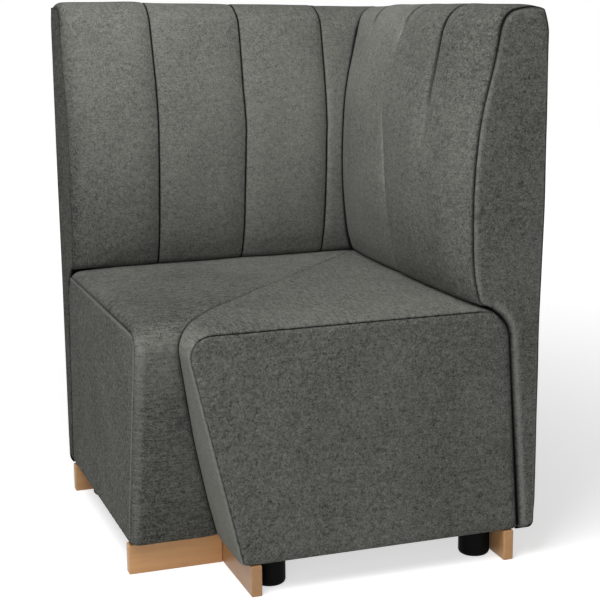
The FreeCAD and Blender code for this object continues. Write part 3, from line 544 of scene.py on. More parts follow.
for wing in WINGS:
    end_roll = SEAT_END_ROLL[wing]
    seam_place = SEAM_PLACES[wing]
    meeting = section[:, 0] - section_normal[:, 0] * MITRE_ROLL[1]
    meeting = meeting + section_normal[:, 0] * section_crown * (1 - np.exp(-meeting / CROWN_RUN))
    places, end_sunk, mitre_sunk = seam_to_seam(
        np.full(len(section), seam_place + SEAM_GAP), meeting - SEAM_GAP,
        end_roll[0], MITRE_ROLL[0], SEAT_COLUMNS)
    from_end = places - places[:, :1]
    from_mitre = places[:, -1:] - places
    swell = section_crown[:, None] * (1 - np.exp(-(from_end / CROWN_RUN) ** CROWN_POWER))
    swell = swell - MITRE_VALLEY[0] * np.exp(-from_mitre / MITRE_VALLEY[1])
    swell = swell - end_roll[1] * end_sunk - MITRE_ROLL[1] * mitre_sunk
    unevenness = ripple(places, section_run[:, None], SEAT_PHASES[wing])
    swell = swell + SEAT_RIPPLE * unevenness * smooth(from_end, *RIPPLE_RISE)
    swell = swell + SEAT_PUCKER * pucker(section_run[:, None], from_end, SEAT_PHASES[wing])
    deep = np.array([COVER_THICKNESS + END_CLEARANCE - seam_place, CLEFT])
    places = widened(places, deep, -CLEFT * section_normal[:, :1])
    swell = widened(swell, -deep, -CLEFT)
    # Painted shade: darker towards black near the end seam and the mitre, and fully on the seam's deep
    # columns and the inner skin.
    strength = np.interp(from_nose, STRENGTH_RUNS, SEAT_SEAM_SHADE_STRENGTHS[wing])[:, None]
    strength = strength * (1 - SEAT_SEAM_FADE[wing] * smooth(from_nose, *SEAM_FADE_RUN)[:, None])
    mitre_strength, mitre_reach = (np.interp(from_nose, MITRE_RUNS, pair)[:, None] for pair in MITRE_SHADES)
    shade = np.maximum(strength * np.exp(-from_end / SEAT_SEAM_SHADE),
                       mitre_strength * np.exp(-from_mitre / mitre_reach))
    shade = np.concatenate([strength, strength, shade, np.ones_like(strength)], 1)
    outer = wing_points(section[:, :1] + section_normal[:, :1] * swell, places,
                        section[:, 1:] + section_normal[:, 1:] * swell, wing)
    behind_front = on_front & (section[:, 1] < DECK_TOP)
    last_front = front_at(DECK_TOP) + COVER_THICKNESS
    share = np.clip((from_nose + INNER_START) / (from_nose[-1] + INNER_START), 0, 1)
    inner_across = np.where(behind_front, front_at(section[:, 1]) + COVER_THICKNESS,
                            blend(last_front, rear_at(DECK_TOP) - INNER_CLEARANCE, share))
    inner_up = np.where(behind_front, section[:, 1], DECK_TOP)
    inner = wing_points(inner_across[:, None], behind(places, inner_across - SEAM_GAP),
                        inner_up[:, None], wing)
    # Painted light and shade along the section, a painted highlight on the left's front corner and lighter
    # cloth beside its mitre.
    painted_light_runs = (-nose_run, *PAINTED_LIGHT_RUNS, from_nose[-1] - HEEL_LENGTH)
    painted_light = np.interp(from_nose, painted_light_runs, SEAT_PAINTED_LIGHT[wing])[:, None]
    corner_share = smooth(-from_nose, *CORNER_HIGHLIGHT_FALL)[:, None] * bell(places, *CORNER_HIGHLIGHT_BELL)
    mitre_share = smooth(places, *MITRE_PAINTED_LIGHT_RISES[0]) * smooth(from_nose, *MITRE_PAINTED_LIGHT_RISES[1])[:, None]
    painted_light = painted_light + CORNER_HIGHLIGHT[wing] * corner_share + MITRE_PAINTED_LIGHT[wing] * mitre_share
    pad = shell(wing + "_seat_pad", outer, inner, on_cloth(places, section_run), shade, wing,
                seat_cloth[wing], painted_light)
    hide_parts(wing + "_seat_cover", wing + "_seat_foam")


# Back channels: four padded tubes of cloth side by side on each wing, sewn down between them, pulled
# over the top of the back and in under its lower edge above the seat.
BACK_HEIGHT = 0.966
PAD_DEPTH = 0.132
PAD_START = 0.472
PAD_LOWER_EDGE = 0.4695
TOP_ROLL_HEIGHT = 0.106
TOP_FALL = 0.016
GROOVE_SWELL = 0.033
FRAME_FRONT = 0.6398
FRAME_REAR = 0.6962
FRAME_TOP = 0.9253
# Stations of the profile, from the tuck above the seat over the top to the rear: shares of the pad's
# depth, of the height up to the roll and of the roll, the padding's direction in degrees, and shares
# of the groove's swell, of the crown and of the fall.
STATION_SHARES = np.array((
    (0.880, 0.0000, 0.000, 0, 0.45, 0.50, 0),
    (0.970, 0.1235, 0.000, 0, 0.60, 0.80, 0),
    (1.000, 0.3310, 0.000, 0, 0.82, 1.00, 0),
    (0.985, 0.5600, 0.000, 3, 0.94, 1.00, 0),
    (0.913, 0.7930, 0.000, 9, 1.00, 1.00, 0),
    (0.770, 1.0000, 0.000, 13, 0.91, 1.00, 0.05),
    (0.663, 1.0000, 0.568, 20, 0.67, 0.90, 0.3),
    (0.510, 1.0000, 0.898, 50, 0.27, 0.60, 0.85),
    (0.260, 1.0000, 1.000, 88, 0.00, 0.30, 1),
    (0.083, 1.0000, 0.998, 110, 0.00, 0.06, 0.8),
    (0.000, 1.0000, 0.968, 135, 0.00, 0.01, 0.8),
))
# One value for each channel, or for each seam, from the free end to the crease.
CHANNEL_FULLNESS = {"right": (0.0185, 0.016, 0.014, 0.006), "left": (0.020, 0.013, 0.013, 0.005)}
TOP_FULLNESS = {"right": (0.0192, 0.017, 0.0155, 0.010), "left": (0.0235, 0.0150, 0.0130, 0.007)}
TOP_LEVELS = {"right": (0.006, 0.0176, 0.016, 0.014, 0.0), "left": (0.0150, 0.0175, 0.0125, 0.0115, 0.0)}
FLAT_SHARES = {"right": 0.5, "left": 0.15}
EDGE_POWERS = {"right": (2.6, 6.0), "left": (3.6, 7.0)}
END_POWERS = (2.0, 8.0)
# Painted light and shade on the back pads: a tone for each channel at three heights, placed across the wing,
# and painted shade at the left's end, on the pad's edge and over its whole end panel.
PAINTED_LIGHT_HEIGHTS = (0.50, 0.70, 0.93)
BACK_PAINTED_LIGHT = {
    "right": ((-0.14, -0.05, -0.22), (0.03, 0.045, -0.08), (0.26, 0.1, 0.19), (0.47, 0.14, 0.19)),
    "left": ((-0.17, -0.05, 0.01), (-0.06, 0.04, 0.0), (0.035, 0.14, -0.035), (0.12, 0.175, -0.005)),
}
END_PAINTED_SHADE = {"right": 0.0, "left": -0.15}
END_PAINTED_SHADE_WIDTH = 0.016
PAINTED_LIGHT_PLACES = (0.083, 0.250, 0.416, 0.600)
GROOVE_PLACES = (0.0, 0.1665, 0.4995, 0.700)
GROOVE_SHARES = (0.0, 1.0, 1.0, 0.2)
SEAM_HEIGHTS = (0.470, 0.540, 0.610, 0.690, 0.726, 0.750, 0.800, 0.870, 0.925, 0.966)
SEAM_LINES = {
    "right": ((0.135, 0.135, 0.135, 0.135, 0.135, 0.135, 0.137, 0.148, 0.159, 0.166),
              (0.305, 0.288, 0.288, 0.298, 0.304, 0.309, 0.316, 0.323, 0.328, 0.333),
              (0.485, 0.475, 0.470, 0.470, 0.470, 0.470, 0.471, 0.474, 0.484, 0.4995)),
    "left": ((0.1665, 0.166, 0.166, 0.167, 0.168, 0.168, 0.168, 0.168, 0.168, 0.1665),
             (0.337, 0.338, 0.338, 0.3405, 0.3425, 0.342, 0.3405, 0.343, 0.345, 0.341),
             (0.506, 0.506, 0.5065, 0.508, 0.510, 0.510, 0.5105, 0.513, 0.515, 0.510)),
}
SEAM_STRENGTHS = {
    "right": ((0.0, 0.0, 0.0, 0.0, 0.1, 0.5, 0.93, 0.98, 1.0, 1.0),
              (0.6, 0.75, 0.75, 0.7, 0.5, 0.3, 0.05, 0.05, 0.95, 1.0),
              (0.0, 0.0, 0.0, 0.0, 0.0, 0.0, 0.0, 0.1, 0.95, 1.0)),
    "left": ((1.0,) * 10, (1.0,) * 10, (1.0,) * 10),
}
CHANNEL_ROLL = {"right": (0.008, 0.0045), "left": (0.0045, 0.0026)}
BACK_END_ROLL = {"right": (0.007, 0.0045), "left": (0.014, 0.009)}
# Strength of the painted shade along the end seam, low and at the top.
BACK_END_SHADE_STRENGTHS = {"right": (0.65, 1.0), "left": (0.12, 0.56)}
TOP_ROLL_SHARE = {"right": 0.3, "left": 1.0}
# Reach of the painted shade on both sides of each seam, and painted light on both sides of a seam's ridge,
# lighter on one side and darker on the other, with its reach.
BACK_SEAM_SHADES = {"right": (0.0048, 0.0032), "left": (0.0014, 0.0014)}
RIDGE_PAINTED_LIGHT = {"right": ((0.1, 0.06), (0.3, -0.15), (0.0, 0.0)), "left": ((0.0, 0.0),) * 3}
RIDGE_REACH = (0.012, 0.020)
# Painted shade: its reach along the end seam and at the top, how far it stays black in the crease below and
# at the top and over what length it fades, the share of that left at the rear, and the power that turns a
# seam's strength into its darkness.
END_SEAM_SHADE = 0.0010
TOP_SEAM_SHADE = 0.0026
CREASE_ROLL = (0.016, 0.008)
CREASE_SHADE = {"right": (0.030, 0.0075, 0.005), "left": (0.0105, 0.0068, 0.004)}
CREASE_END_SHARE = 0.1
SEAM_POWER = 8
FLAT_GAP_SHARE = 0.1
REAR_ROLL = (0.006, 0.002)
LOWER_ROLL = 0.013
END_DROP = 0.004
BACK_RIPPLE = 0.0006
BACK_PUCKER = 0.0003
RIPPLE_PHASE = 1.3
PUCKER_PHASE = 2.2
FIRST_STEP = 0.004
BACK_STEP = 0.0045
BACK_COLUMNS = 34
RIDGE_STATION = 2.5
REAR_TOP_POWER = 1.5
# Start and length of a smooth step, along the profile in metres or in stations.
LOWER_EDGE_RUN = (0, 0.03)
END_DROP_RUN = (0, 0.04)
TOP_STATIONS = (5.5, 1.5)
FRAME_STATIONS = (6.2, 3.3)
CREASE_STATIONS = (7, 1.6)
REAR_STATIONS = (8, 1.6)
# Depth, start and length of a change in the padding behind the back, up its height.
REAR_SWELLS = ((0.002, FOOT_HEIGHT + 0.018, 0.04), (0.0055, 0.40, 0.25))
REAR_TOP_SINK = (0.0080, 0.925, 0.035)


def through(values, places):
    """Catmull-Rom curve through evenly numbered values, one column each, at the given places."""
    values = np.concatenate([2 * values[:1] - values[1:2], values, 2 * values[-1:] - values[-2:-1]])
    start = np.clip(places.astype(int), 0, len(values) - 4)
    t = (places - start)[:, None]
    a, b, c, d = (values[start + step] for step in range(4))
    return 0.5 * (2 * b + (c - a) * t + (2 * a - 5 * b + 4 * c - d) * t ** 2
                  + (3 * b - a - 3 * c + d) * t ** 3)


def back_profile(places):
    """Across, up, direction of the padding, groove, crown and fall shares at places 0 to 10."""
    depth, front, roll, degrees, groove, crown, fall = through(STATION_SHARES, places).T
    up = PAD_START + front * (BACK_HEIGHT - TOP_ROLL_HEIGHT - PAD_START) + roll * TOP_ROLL_HEIGHT
    return MODULE_WIDTH - depth * PAD_DEPTH, up, np.radians(degrees), groove, crown, fall


fine = np.linspace(0, len(STATION_SHARES) - 1, 400)
fine_across, fine_up = back_profile(fine)[:2]
fine_run = run_length(np.stack([fine_across, fine_up], -1))
lower_turn = np.linspace(0, math.pi / 2, 9)
lower_runs = LOWER_ROLL * (1 - np.cos(lower_turn))
upper_runs = np.arange(lower_runs[-1] + FIRST_STEP, fine_run[-1], BACK_STEP)
back_run = np.concatenate([lower_runs, upper_runs, fine_run[-1:]])
lower_sunk = np.concatenate([LOWER_ROLL * (1 - np.sin(lower_turn)), 0 * upper_runs, [0]])
stations = np.interp(back_run, fine_run, fine)
base_across, base_up, lean, groove_share, crown_share, fall_share = back_profile(stations)
base_up = base_up - (PAD_START - PAD_LOWER_EDGE) * (1 - smooth(back_run, *LOWER_EDGE_RUN))


def tucked(distance, width):
    """1 at a seam and 0 from a width away, with the square of the share that is left between."""
    return np.clip(1 - distance / width, 0, 1) ** 2


def groove_stand(places):
    """How far the seams stand out past the end seam at places along the wing, for each row."""
    share = np.interp(places, GROOVE_PLACES, GROOVE_SHARES)
    return GROOVE_SWELL * groove_share[:, None] * share


def rear_bulge(up):
    """How far the padding pushes the rear cover out at a height: the sum of a smooth step just above
    the bottom and a longer one above the waist, less a power of the height just under the top."""
    low, high = (depth * smooth(up, start, length) for depth, start, length in REAR_SWELLS)
    depth, start, length = REAR_TOP_SINK
    return low + high - depth * np.clip((up - start) / length, 0, 1) ** REAR_TOP_POWER


def back_lines(places, stand):
    """Across and up of the back: the base profile moved out by stand, down a little towards the
    corner at its top, and down at its lower edge towards the free end, as the seat's crown falls."""
    fall = TOP_FALL * fall_share[:, None] * np.clip(places, 0, MODULE_WIDTH) / MODULE_WIDTH
    fall = fall + END_DROP * np.exp(-places / CROWN_RUN) * (1 - smooth(back_run, *END_DROP_RUN))[:, None]
    across = base_across[:, None] - stand * np.cos(lean)[:, None] + (lower_sunk - rear_sunk)[:, None]
    across = across + (rear_bulge(base_up) * smooth(stations, *REAR_STATIONS))[:, None]
    return across, base_up[:, None] - fall + stand * np.sin(lean)[:, None]


rear_sunk = REAR_ROLL[1] * tucked(back_run[-1] - back_run, REAR_ROLL[0])
crease = base_across.copy()
# Where the crease lies hangs on how far the seams stand out there, so it is found in rounds.
for step in range(12):
    crease = base_across + lower_sunk - (groove_stand(crease[:, None])[:, 0] - CREASE_ROLL[1]) * np.cos(lean)
inner_across = blend(FRAME_FRONT, FRAME_REAR, smooth(stations, *FRAME_STATIONS))
inner_up = np.minimum(base_up, FRAME_TOP)
top_share = smooth(stations, *TOP_STATIONS)[:, None]
for wing in WINGS:
    power = blend(*EDGE_POWERS[wing], top_share)
    end_roll_share = blend(1, TOP_ROLL_SHARE[wing], top_share)
    first_reach, last_reach = BACK_SEAM_SHADES[wing]
    seams = [np.full(len(base_up), SEAM_PLACES[wing])]
    seams += [np.interp(base_up, SEAM_HEIGHTS, line) for line in SEAM_LINES[wing]] + [crease]
    strengths = [np.interp(base_up, SEAM_HEIGHTS, line)[:, None] for line in SEAM_STRENGTHS[wing]]
    strengths = [np.ones_like(top_share), *strengths, np.ones_like(top_share)]
    means = np.convolve(CHANNEL_FULLNESS[wing], (0.5, 0.5))
    means[0] = means[4] = 0
    levels = [blend(mean * blend(1, FLAT_SHARES[wing], strength), top, top_share)
              for mean, strength, top in zip(means, strengths, TOP_LEVELS[wing])]
    for number in range(4):
        is_first, is_last = number == 0, number == 3
        fullness = blend(CHANNEL_FULLNESS[wing][number], TOP_FULLNESS[wing][number], top_share)
        start, end = seams[number], seams[number + 1]
        first_roll = BACK_END_ROLL[wing] if is_first else CHANNEL_ROLL[wing]
        last_roll = CREASE_ROLL if is_last else CHANNEL_ROLL[wing]
        first_strength, last_strength = strengths[number], strengths[number + 1]
        first_gap, last_gap = (SEAM_GAP * blend(FLAT_GAP_SHARE, 1, strength[:, 0])
                               for strength in (first_strength, last_strength))
        places, first_sunk, last_sunk = seam_to_seam(start + first_gap, end - last_gap,
                                                     first_roll[0], last_roll[0], BACK_COLUMNS)
        near_first, near_last = places - places[:, :1], places[:, -1:] - places
        share = (places - start[:, None]) / (end - start)[:, None]
        edge_power = np.where(share < 0.5, blend(*END_POWERS, top_share), power) if is_first else power
        seam_level = np.where(share < 0.5, levels[number], levels[number + 1])
        swell = (fullness - seam_level) * (1 - np.abs(2 * share - 1) ** edge_power)
        if is_last:
            last_sunk = tucked(near_last, CREASE_ROLL[0])
        first_depth = first_roll[1] * (1 if is_first else first_strength) * end_roll_share
        last_depth = last_roll[1] * (1 if is_last else last_strength * end_roll_share)
        stand = groove_stand(places) + crown_share[:, None] * (seam_level + swell)
        stand = stand - first_depth * first_sunk - last_depth * last_sunk
        stand = stand + BACK_RIPPLE * ripple(places, back_run[:, None], RIPPLE_PHASE * number + len(wing))
        for strength, near, seam in ((first_strength, near_first, number),
                                     (last_strength, near_last, number + 1)):
            gathers = pucker(back_run[:, None], near, PUCKER_PHASE * seam + len(wing))
            stand = stand + BACK_PUCKER * crown_share[:, None] * strength * gathers
        # Painted shade: darker towards black beside each seam, along the end seam and in the crease.
        first_dark, last_dark = first_strength ** SEAM_POWER, last_strength ** SEAM_POWER
        reach, last_fade = first_reach, bell(near_last, 0, last_reach)
        if is_first:
            first_dark = blend(*BACK_END_SHADE_STRENGTHS[wing], top_share)
            reach = blend(END_SEAM_SHADE, TOP_SEAM_SHADE, top_share)
        if is_last:
            low_full, top_full, fade = CREASE_SHADE[wing]
            narrowing = blend(1, CREASE_END_SHARE, smooth(stations, *CREASE_STATIONS)[:, None])
            last_fade = 1 - smooth(near_last, blend(low_full, top_full, top_share) * narrowing, fade)
        shade = np.maximum(first_dark * bell(near_first, 0, reach), last_dark * last_fade)
        shade = np.concatenate([first_dark, shade, last_dark], 1)
        places = widened(places, CLEFT * is_first, CLEFT * is_last)
        stand = widened(stand, -CLEFT, -CLEFT)
        if is_first:
            rest = COVER_THICKNESS + END_CLEARANCE - SEAM_PLACES[wing]
            places = np.concatenate([places[:, 1:2] + rest, places], 1)
            stand = np.concatenate([stand[:, 1:2] - rest, stand], 1)
            shade = np.concatenate([shade[:, :1], shade], 1)
        across, up = back_lines(places, stand)
        outer = wing_points(across, places, up, wing)
        inner_places = behind(places, inner_across if is_last else places[:, -1])
        inner = wing_points(inner_across[:, None], inner_places, inner_up[:, None], wing)
        # Painted light and shade: a tone for each channel up the height, painted shade at the left's end, and
        # a lighter and a darker side beside the seams' ridges below the top.
        painted_light_place = np.interp(places, PAINTED_LIGHT_PLACES, range(4))
        painted_light = END_PAINTED_SHADE[wing] * bell(places, 0, END_PAINTED_SHADE_WIDTH)
        for index, values in enumerate(BACK_PAINTED_LIGHT[wing]):
            near_share = np.clip(1 - np.abs(painted_light_place - index), 0, 1)
            painted_light = painted_light + np.interp(base_up, PAINTED_LIGHT_HEIGHTS, values)[:, None] * near_share
        low_share = (1 - top_share) * (stations > RIDGE_STATION)[:, None]
        if not is_first:
            ridge = low_share * first_strength * np.exp(-(places - places[:, :1]) / RIDGE_REACH[0])
            painted_light = painted_light + RIDGE_PAINTED_LIGHT[wing][number - 1][0] * ridge
        if not is_last:
            ridge = low_share * last_strength * np.exp(-(places[:, -1:] - places) / RIDGE_REACH[1])
            painted_light = painted_light + RIDGE_PAINTED_LIGHT[wing][number][1] * ridge
        pad = shell("%s_back_pad_%d" % (wing, number + 1), outer, inner, on_cloth(places, back_run), shade,
                    wing, back_cloth[wing], painted_light)
        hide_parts("%s_back_channel_%d" % (wing, number + 1))
        if number == 1:
            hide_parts(wing + "_back_foam")


# End panels: flat panels of cloth over thin padding at the free ends, one on the seat box and one in
# the shape of the back's side, sewn to the pads and turned in round the plywood where no pad meets them.
EDGE_ROLL = 0.010
JOINT_ROLL = 0.016
JOINT_DEPTH = 0.007
PANEL_FACE = 0.0004
TURN_IN = 0.045
PANEL_PHASES = {"seat": 0.7, "back": 2.9}
TURN_STAND = 0.0006
HEEL_RUN_OUT = 0.0137
HEEL_RADIUS = 0.010
REAR_EDGE = MODULE_WIDTH - 0.003
# Reach of the painted shade in the joint between the seat's and the back's end panels.
JOINT_SHADE = 0.0044
JOINT_LOWER_END = FOOT_HEIGHT + 0.006
HEM_TUCK = 0.0003
PULL_REACH = 0.03
# Depth of the unevenness and of the gathers, and the smooth step over which each sets in.
PANEL_SWELL = (0.0003, 0, 0.02)
PANEL_PUCKER = (0.0004, 0, 0.004)
# Height and length of the smooth steps to the seams' painted shade: its reach at the top of the
# back, and its strength on the seat's nose.
TOP_SEAM_RISE = (0.85, 0.06)
NOSE_SEAM_RISE = (0.43, 0.015)
# Middle and width of the painted highlight just inside the seams, and inside the joint with the
# other panel.
EDGE_HIGHLIGHTS = ((0.0035, 0.003), (0.0105, 0.005))
SEAT_END_HIGHLIGHTS = {"right": (0.0, 0.0), "left": (0.5, 0.0)}
BACK_END_HIGHLIGHTS = {"right": (0.25, 0.42), "left": (0.0, 0.0)}
# Width of each fold, and how much painted highlight a fold's height puts on its ridge.
FOLD_WIDTH = 0.0022
FOLD_HIGHLIGHT_PER_METRE = 250
# Across, up, half length, slope and height of each fold.
FOLDS = {
    "right": ((0.634, 0.944, 0.014, -0.35, 0.0016), (0.668, 0.952, 0.016, -0.1, 0.0012),
              (0.622, 0.905, 0.010, 0.2, 0.0010), (0.672, 0.105, 0.016, 0.9, 0.0008)),
    "left": (),
}
HEM_RUN = 0.05
NOSE_INSET = 1.05
TOE_RADIUS = 0.004
LOWER_REAR_RADIUS = 0.0145
PANEL_STEP = 0.001
RISE_STEP = 0.002
PLAIN_STEP = 0.004
NEAR_SHARES = (0.05, 0.12, 0.22, 0.36, 0.55, 0.78)
NO_LENGTH = 1e-14
SEAT_END_GRID = (90, 64)
BACK_END_GRID = (26, 190)
# Where a panel's edge is split into its four sides, from its outline's sharp corners, and the heights
# and places across where its seams end.
TOE_CUT = (0.003, 0.003)
NOSE_CUT = (0.013, -0.014)
REAR_CUT = (-0.018, -0.018)
HEEL_CUT = (-0.002, 0.002)
TOE_SPLIT = 0.012
REAR_SPLIT = 0.018
SEAT_SEAM_ENDS = (FOOT_HEIGHT + 0.004, rear_at(SHOULDER) - 0.02)
BACK_SEAM_ENDS = (0.474, 0.0005, MODULE_WIDTH - 0.006)


def spaced(count):
    """Shares from 0 to 1, evenly spaced but finer at both ends."""
    even = np.linspace(0, 1, count)
    near = even[1] * np.array(NEAR_SHARES)
    return np.concatenate([[0], near, even[1:-1], 1 - near[::-1], [1]])


def at_shares(points, shares):
    """Points of a line at shares of its length."""
    run = run_length(points)
    return np.stack([np.interp(shares * run[-1], run, points[:, axis]) for axis in (0, 1)], -1)


def filled(bottom, top, front, rear, columns, rows):
    """Coons patch: a grid that fills the space between four lines that meet at their ends."""
    s, t = spaced(columns), spaced(rows)
    low, high = at_shares(bottom, s)[:, None], at_shares(top, s)[:, None]
    left, right = at_shares(front, t)[None], at_shares(rear, t)[None]
    s, t = s[:, None, None], t[None, :, None]
    corners = ((1 - s) * (1 - t) * low[0, 0] + s * (1 - t) * low[-1, 0]
               + (1 - s) * t * high[0, 0] + s * t * high[-1, 0])
    return (1 - t) * low + t * high + (1 - s) * left + s * right - corners


def nearest_edge(grid, loop):
    """Distance of each point of a grid from a closed loop, and the number of the nearest loop point."""
    flat = grid.reshape(-1, 2)
    step = np.roll(loop, -1, 0) - loop
    share = np.einsum("pki,ki->pk", flat[:, None] - loop[None], step)
    share = share / np.maximum((step ** 2).sum(-1), NO_LENGTH)
    foot = loop[None] + np.clip(share, 0, 1)[..., None] * step[None]
    distance = np.linalg.norm(flat[:, None] - foot, axis=-1)
    return distance.min(1).reshape(grid.shape[:2]), distance.argmin(1).reshape(grid.shape[:2])


def end_panel(name, grid, sewn, wing, node, phase, strengths, strength_rise, top_reach, glow,
              painted_light=0, folds=()):
    """A padded panel at the free end whose edge rolls in to its seam like a quarter of an ellipse.

    sewn says for a point of the edge whether it meets a pad; elsewhere the cloth is turned in. The
    painted shade falls off from the seams: their strength goes from the first of strengths to the last
    over strength_rise, and their reach grows to top_reach at the very top. Where the seat and the back
    meet the painted shade falls off as a bell and is black in the joint. nap paints light and shade
    all over, and glow paints a highlight just inside the seams and the joint. Each fold is a bell
    along and across a small ridge, with a painted highlight on its top.
    """
    seam_place = SEAM_PLACES[wing]
    loop = round_of(grid)
    tangent = np.roll(loop, -1, 0) - np.roll(loop, 1, 0)
    inward = np.stack([-tangent[:, 1], tangent[:, 0]], -1) / np.linalg.norm(tangent, axis=1, keepdims=True)
    distance, nearest = nearest_edge(grid, loop)
    meets = sewn(loop[:, 0], loop[:, 1]).astype(float)
    near = np.clip(1 - distance / np.where(meets > 0.5, EDGE_ROLL, JOINT_ROLL)[nearest], 0, 1)
    edge_depth = np.where(meets > 0.5, seam_place, JOINT_DEPTH)[nearest]
    place = PANEL_FACE + (edge_depth - PANEL_FACE) * (1 - np.sqrt(1 - near ** 2))
    swell, *swell_rise = PANEL_SWELL
    place = place + swell * (1 + ripple(grid[..., 0], grid[..., 1], phase)) * smooth(distance, *swell_rise)
    depth, *pucker_rise = PANEL_PUCKER
    gathers = pucker(grid[..., 1] + grid[..., 0], distance, phase) * smooth(distance, *pucker_rise)
    place = place - depth * gathers
    # Painted highlights just inside the seams and the joint.
    for strength, edges, (middle, width) in zip(glow, (meets, 1 - meets), EDGE_HIGHLIGHTS):
        painted_light = painted_light + strength * edges[nearest] * bell(distance, middle, width)
    for across, up, half_length, slope, height in folds:
        from_across, from_up = grid[..., 0] - across, grid[..., 1] - up
        along = from_across * math.cos(slope) + from_up * math.sin(slope)
        aside = from_up * math.cos(slope) - from_across * math.sin(slope)
        ridge = height * bell(along, 0, half_length) * bell(aside, 0, FOLD_WIDTH)
        place = place - ridge
        # Painted highlight on the fold's ridge.
        painted_light = painted_light + FOLD_HIGHLIGHT_PER_METRE * ridge
    # Painted shade: darker towards the seams, and black in the joint where the seat and the back meet.
    joint = (1 - meets) * (loop[:, 1] > JOINT_LOWER_END)
    strength = np.maximum(blend(*strengths, smooth(loop[:, 1], *strength_rise)) * meets, joint)
    reach = blend(SEAT_SEAM_SHADE, top_reach, smooth(loop[:, 1], *TOP_SEAM_RISE))
    shade = strength[nearest] * np.where(joint[nearest] > 0.5, bell(distance, 0, JOINT_SHADE),
                                         np.exp(-distance / reach[nearest]))
    place, nearest, shade, painted_light = (np.pad(part, 1, mode="edge")
                                  for part in (np.maximum(place, 0), nearest, shade, painted_light))
    ring = np.pad(grid, ((1, 1), (1, 1), (0, 0)), mode="edge")
    border = np.ones(ring.shape[:2], bool)
    border[1:-1, 1:-1] = False
    meets_here = meets[nearest] > 0.5
    pulled = np.where((border & meets_here)[..., None], (inward * CLEFT)[nearest], 0)
    ring = ring + pulled
    place = np.where(border, np.where(meets_here, place + CLEFT, TURN_IN), place)
    outer = wing_points(ring[..., 0], place, ring[..., 1], wing)
    pull = np.where(meets_here, COVER_THICKNESS - seam_place, TURN_STAND)
    moved = pull * np.clip(1 - np.pad(distance, 1) / PULL_REACH, 0, 1)
    lifted = ring + inward[nearest] * moved[..., None] - pulled
    inner_place = np.where(border & ~meets_here, TURN_IN, COVER_THICKNESS - HEM_TUCK)
    inner = wing_points(lifted[..., 0], inner_place, lifted[..., 1], wing)
    cloth = np.stack([ring[..., 0], ring[..., 1] - place], -1)
    piece = shell(name, outer, inner, cloth, shade, wing, end_cloth[wing], painted_light)
    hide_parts(node)
    return piece


def cut_at(points, *tests):
    """A line split at the points nearest to the given ones."""
    places = [int(np.linalg.norm(points - test, axis=1).argmin()) for test in tests]
    bounds = [0] + places + [len(points) - 1]
    return [points[a:b + 1] for a, b in zip(bounds, bounds[1:])]


def seat_end_grid(inset):
    """The seat box's end: inset from the pad's section along the front and top, and just past the
    plywood at the rear and bottom."""
    toe, heel, level = front_at(FOOT_HEIGHT), rear_at(FOOT_HEIGHT), SEAT_HEIGHT - inset
    rear = rear_at(SHOULDER) + TURN_STAND
    edge = rounded_path([(toe + HEM_RUN, FOOT_HEIGHT), (toe + inset, FOOT_HEIGHT),
                         (front_at(SEAT_HEIGHT) + inset * NOSE_INSET, level), (rear, level),
                         (heel + TURN_STAND, FOOT_HEIGHT), (heel - HEM_RUN, FOOT_HEIGHT)],
                        [BOTTOM_ROLL, NOSE_RADIUS - inset, REAR_RADIUS - inset, HEEL_RADIUS], PANEL_STEP)
    corners = ((toe, FOOT_HEIGHT), (NOSE_SETBACK, SEAT_HEIGHT), (rear, SEAT_HEIGHT), (heel, FOOT_HEIGHT))
    cuts = np.add(corners, (TOE_CUT, NOSE_CUT, REAR_CUT, HEEL_CUT))
    first, front, top, rise, last = cut_at(edge, *cuts)
    return filled(np.concatenate([first[::-1], last[::-1]]), top, front, rise[::-1], *SEAT_END_GRID)


def sewn_seat(across, up):
    """The seat's pad meets its end panel at the front and on top, not behind or below."""
    lowest, rearmost = SEAT_SEAM_ENDS
    return (up > lowest) & (across < rearmost)


def back_seam(wing):
    """The line on which the back's pads meet their end panel, from the tuck above the seat over the
    top to the rear: the profile moved out by the first channel's level there, less its roll."""
    stand = TOP_LEVELS[wing][0] * top_share * crown_share[:, None]
    stand = stand - BACK_END_ROLL[wing][1] * blend(1, TOP_ROLL_SHARE[wing], top_share)
    across, up = back_lines(np.full((len(base_up), 1), SEAM_PLACES[wing]), stand)
    return np.concatenate([across, up], 1)


def sewn_back(across, up):
    """The back's pads meet their end panel in front and above, the rear cover meets it behind."""
    lowest, tuck_width, rear_seam = BACK_SEAM_ENDS
    return (up > lowest) | (across < tuck_across + tuck_width) | (across > rear_seam)


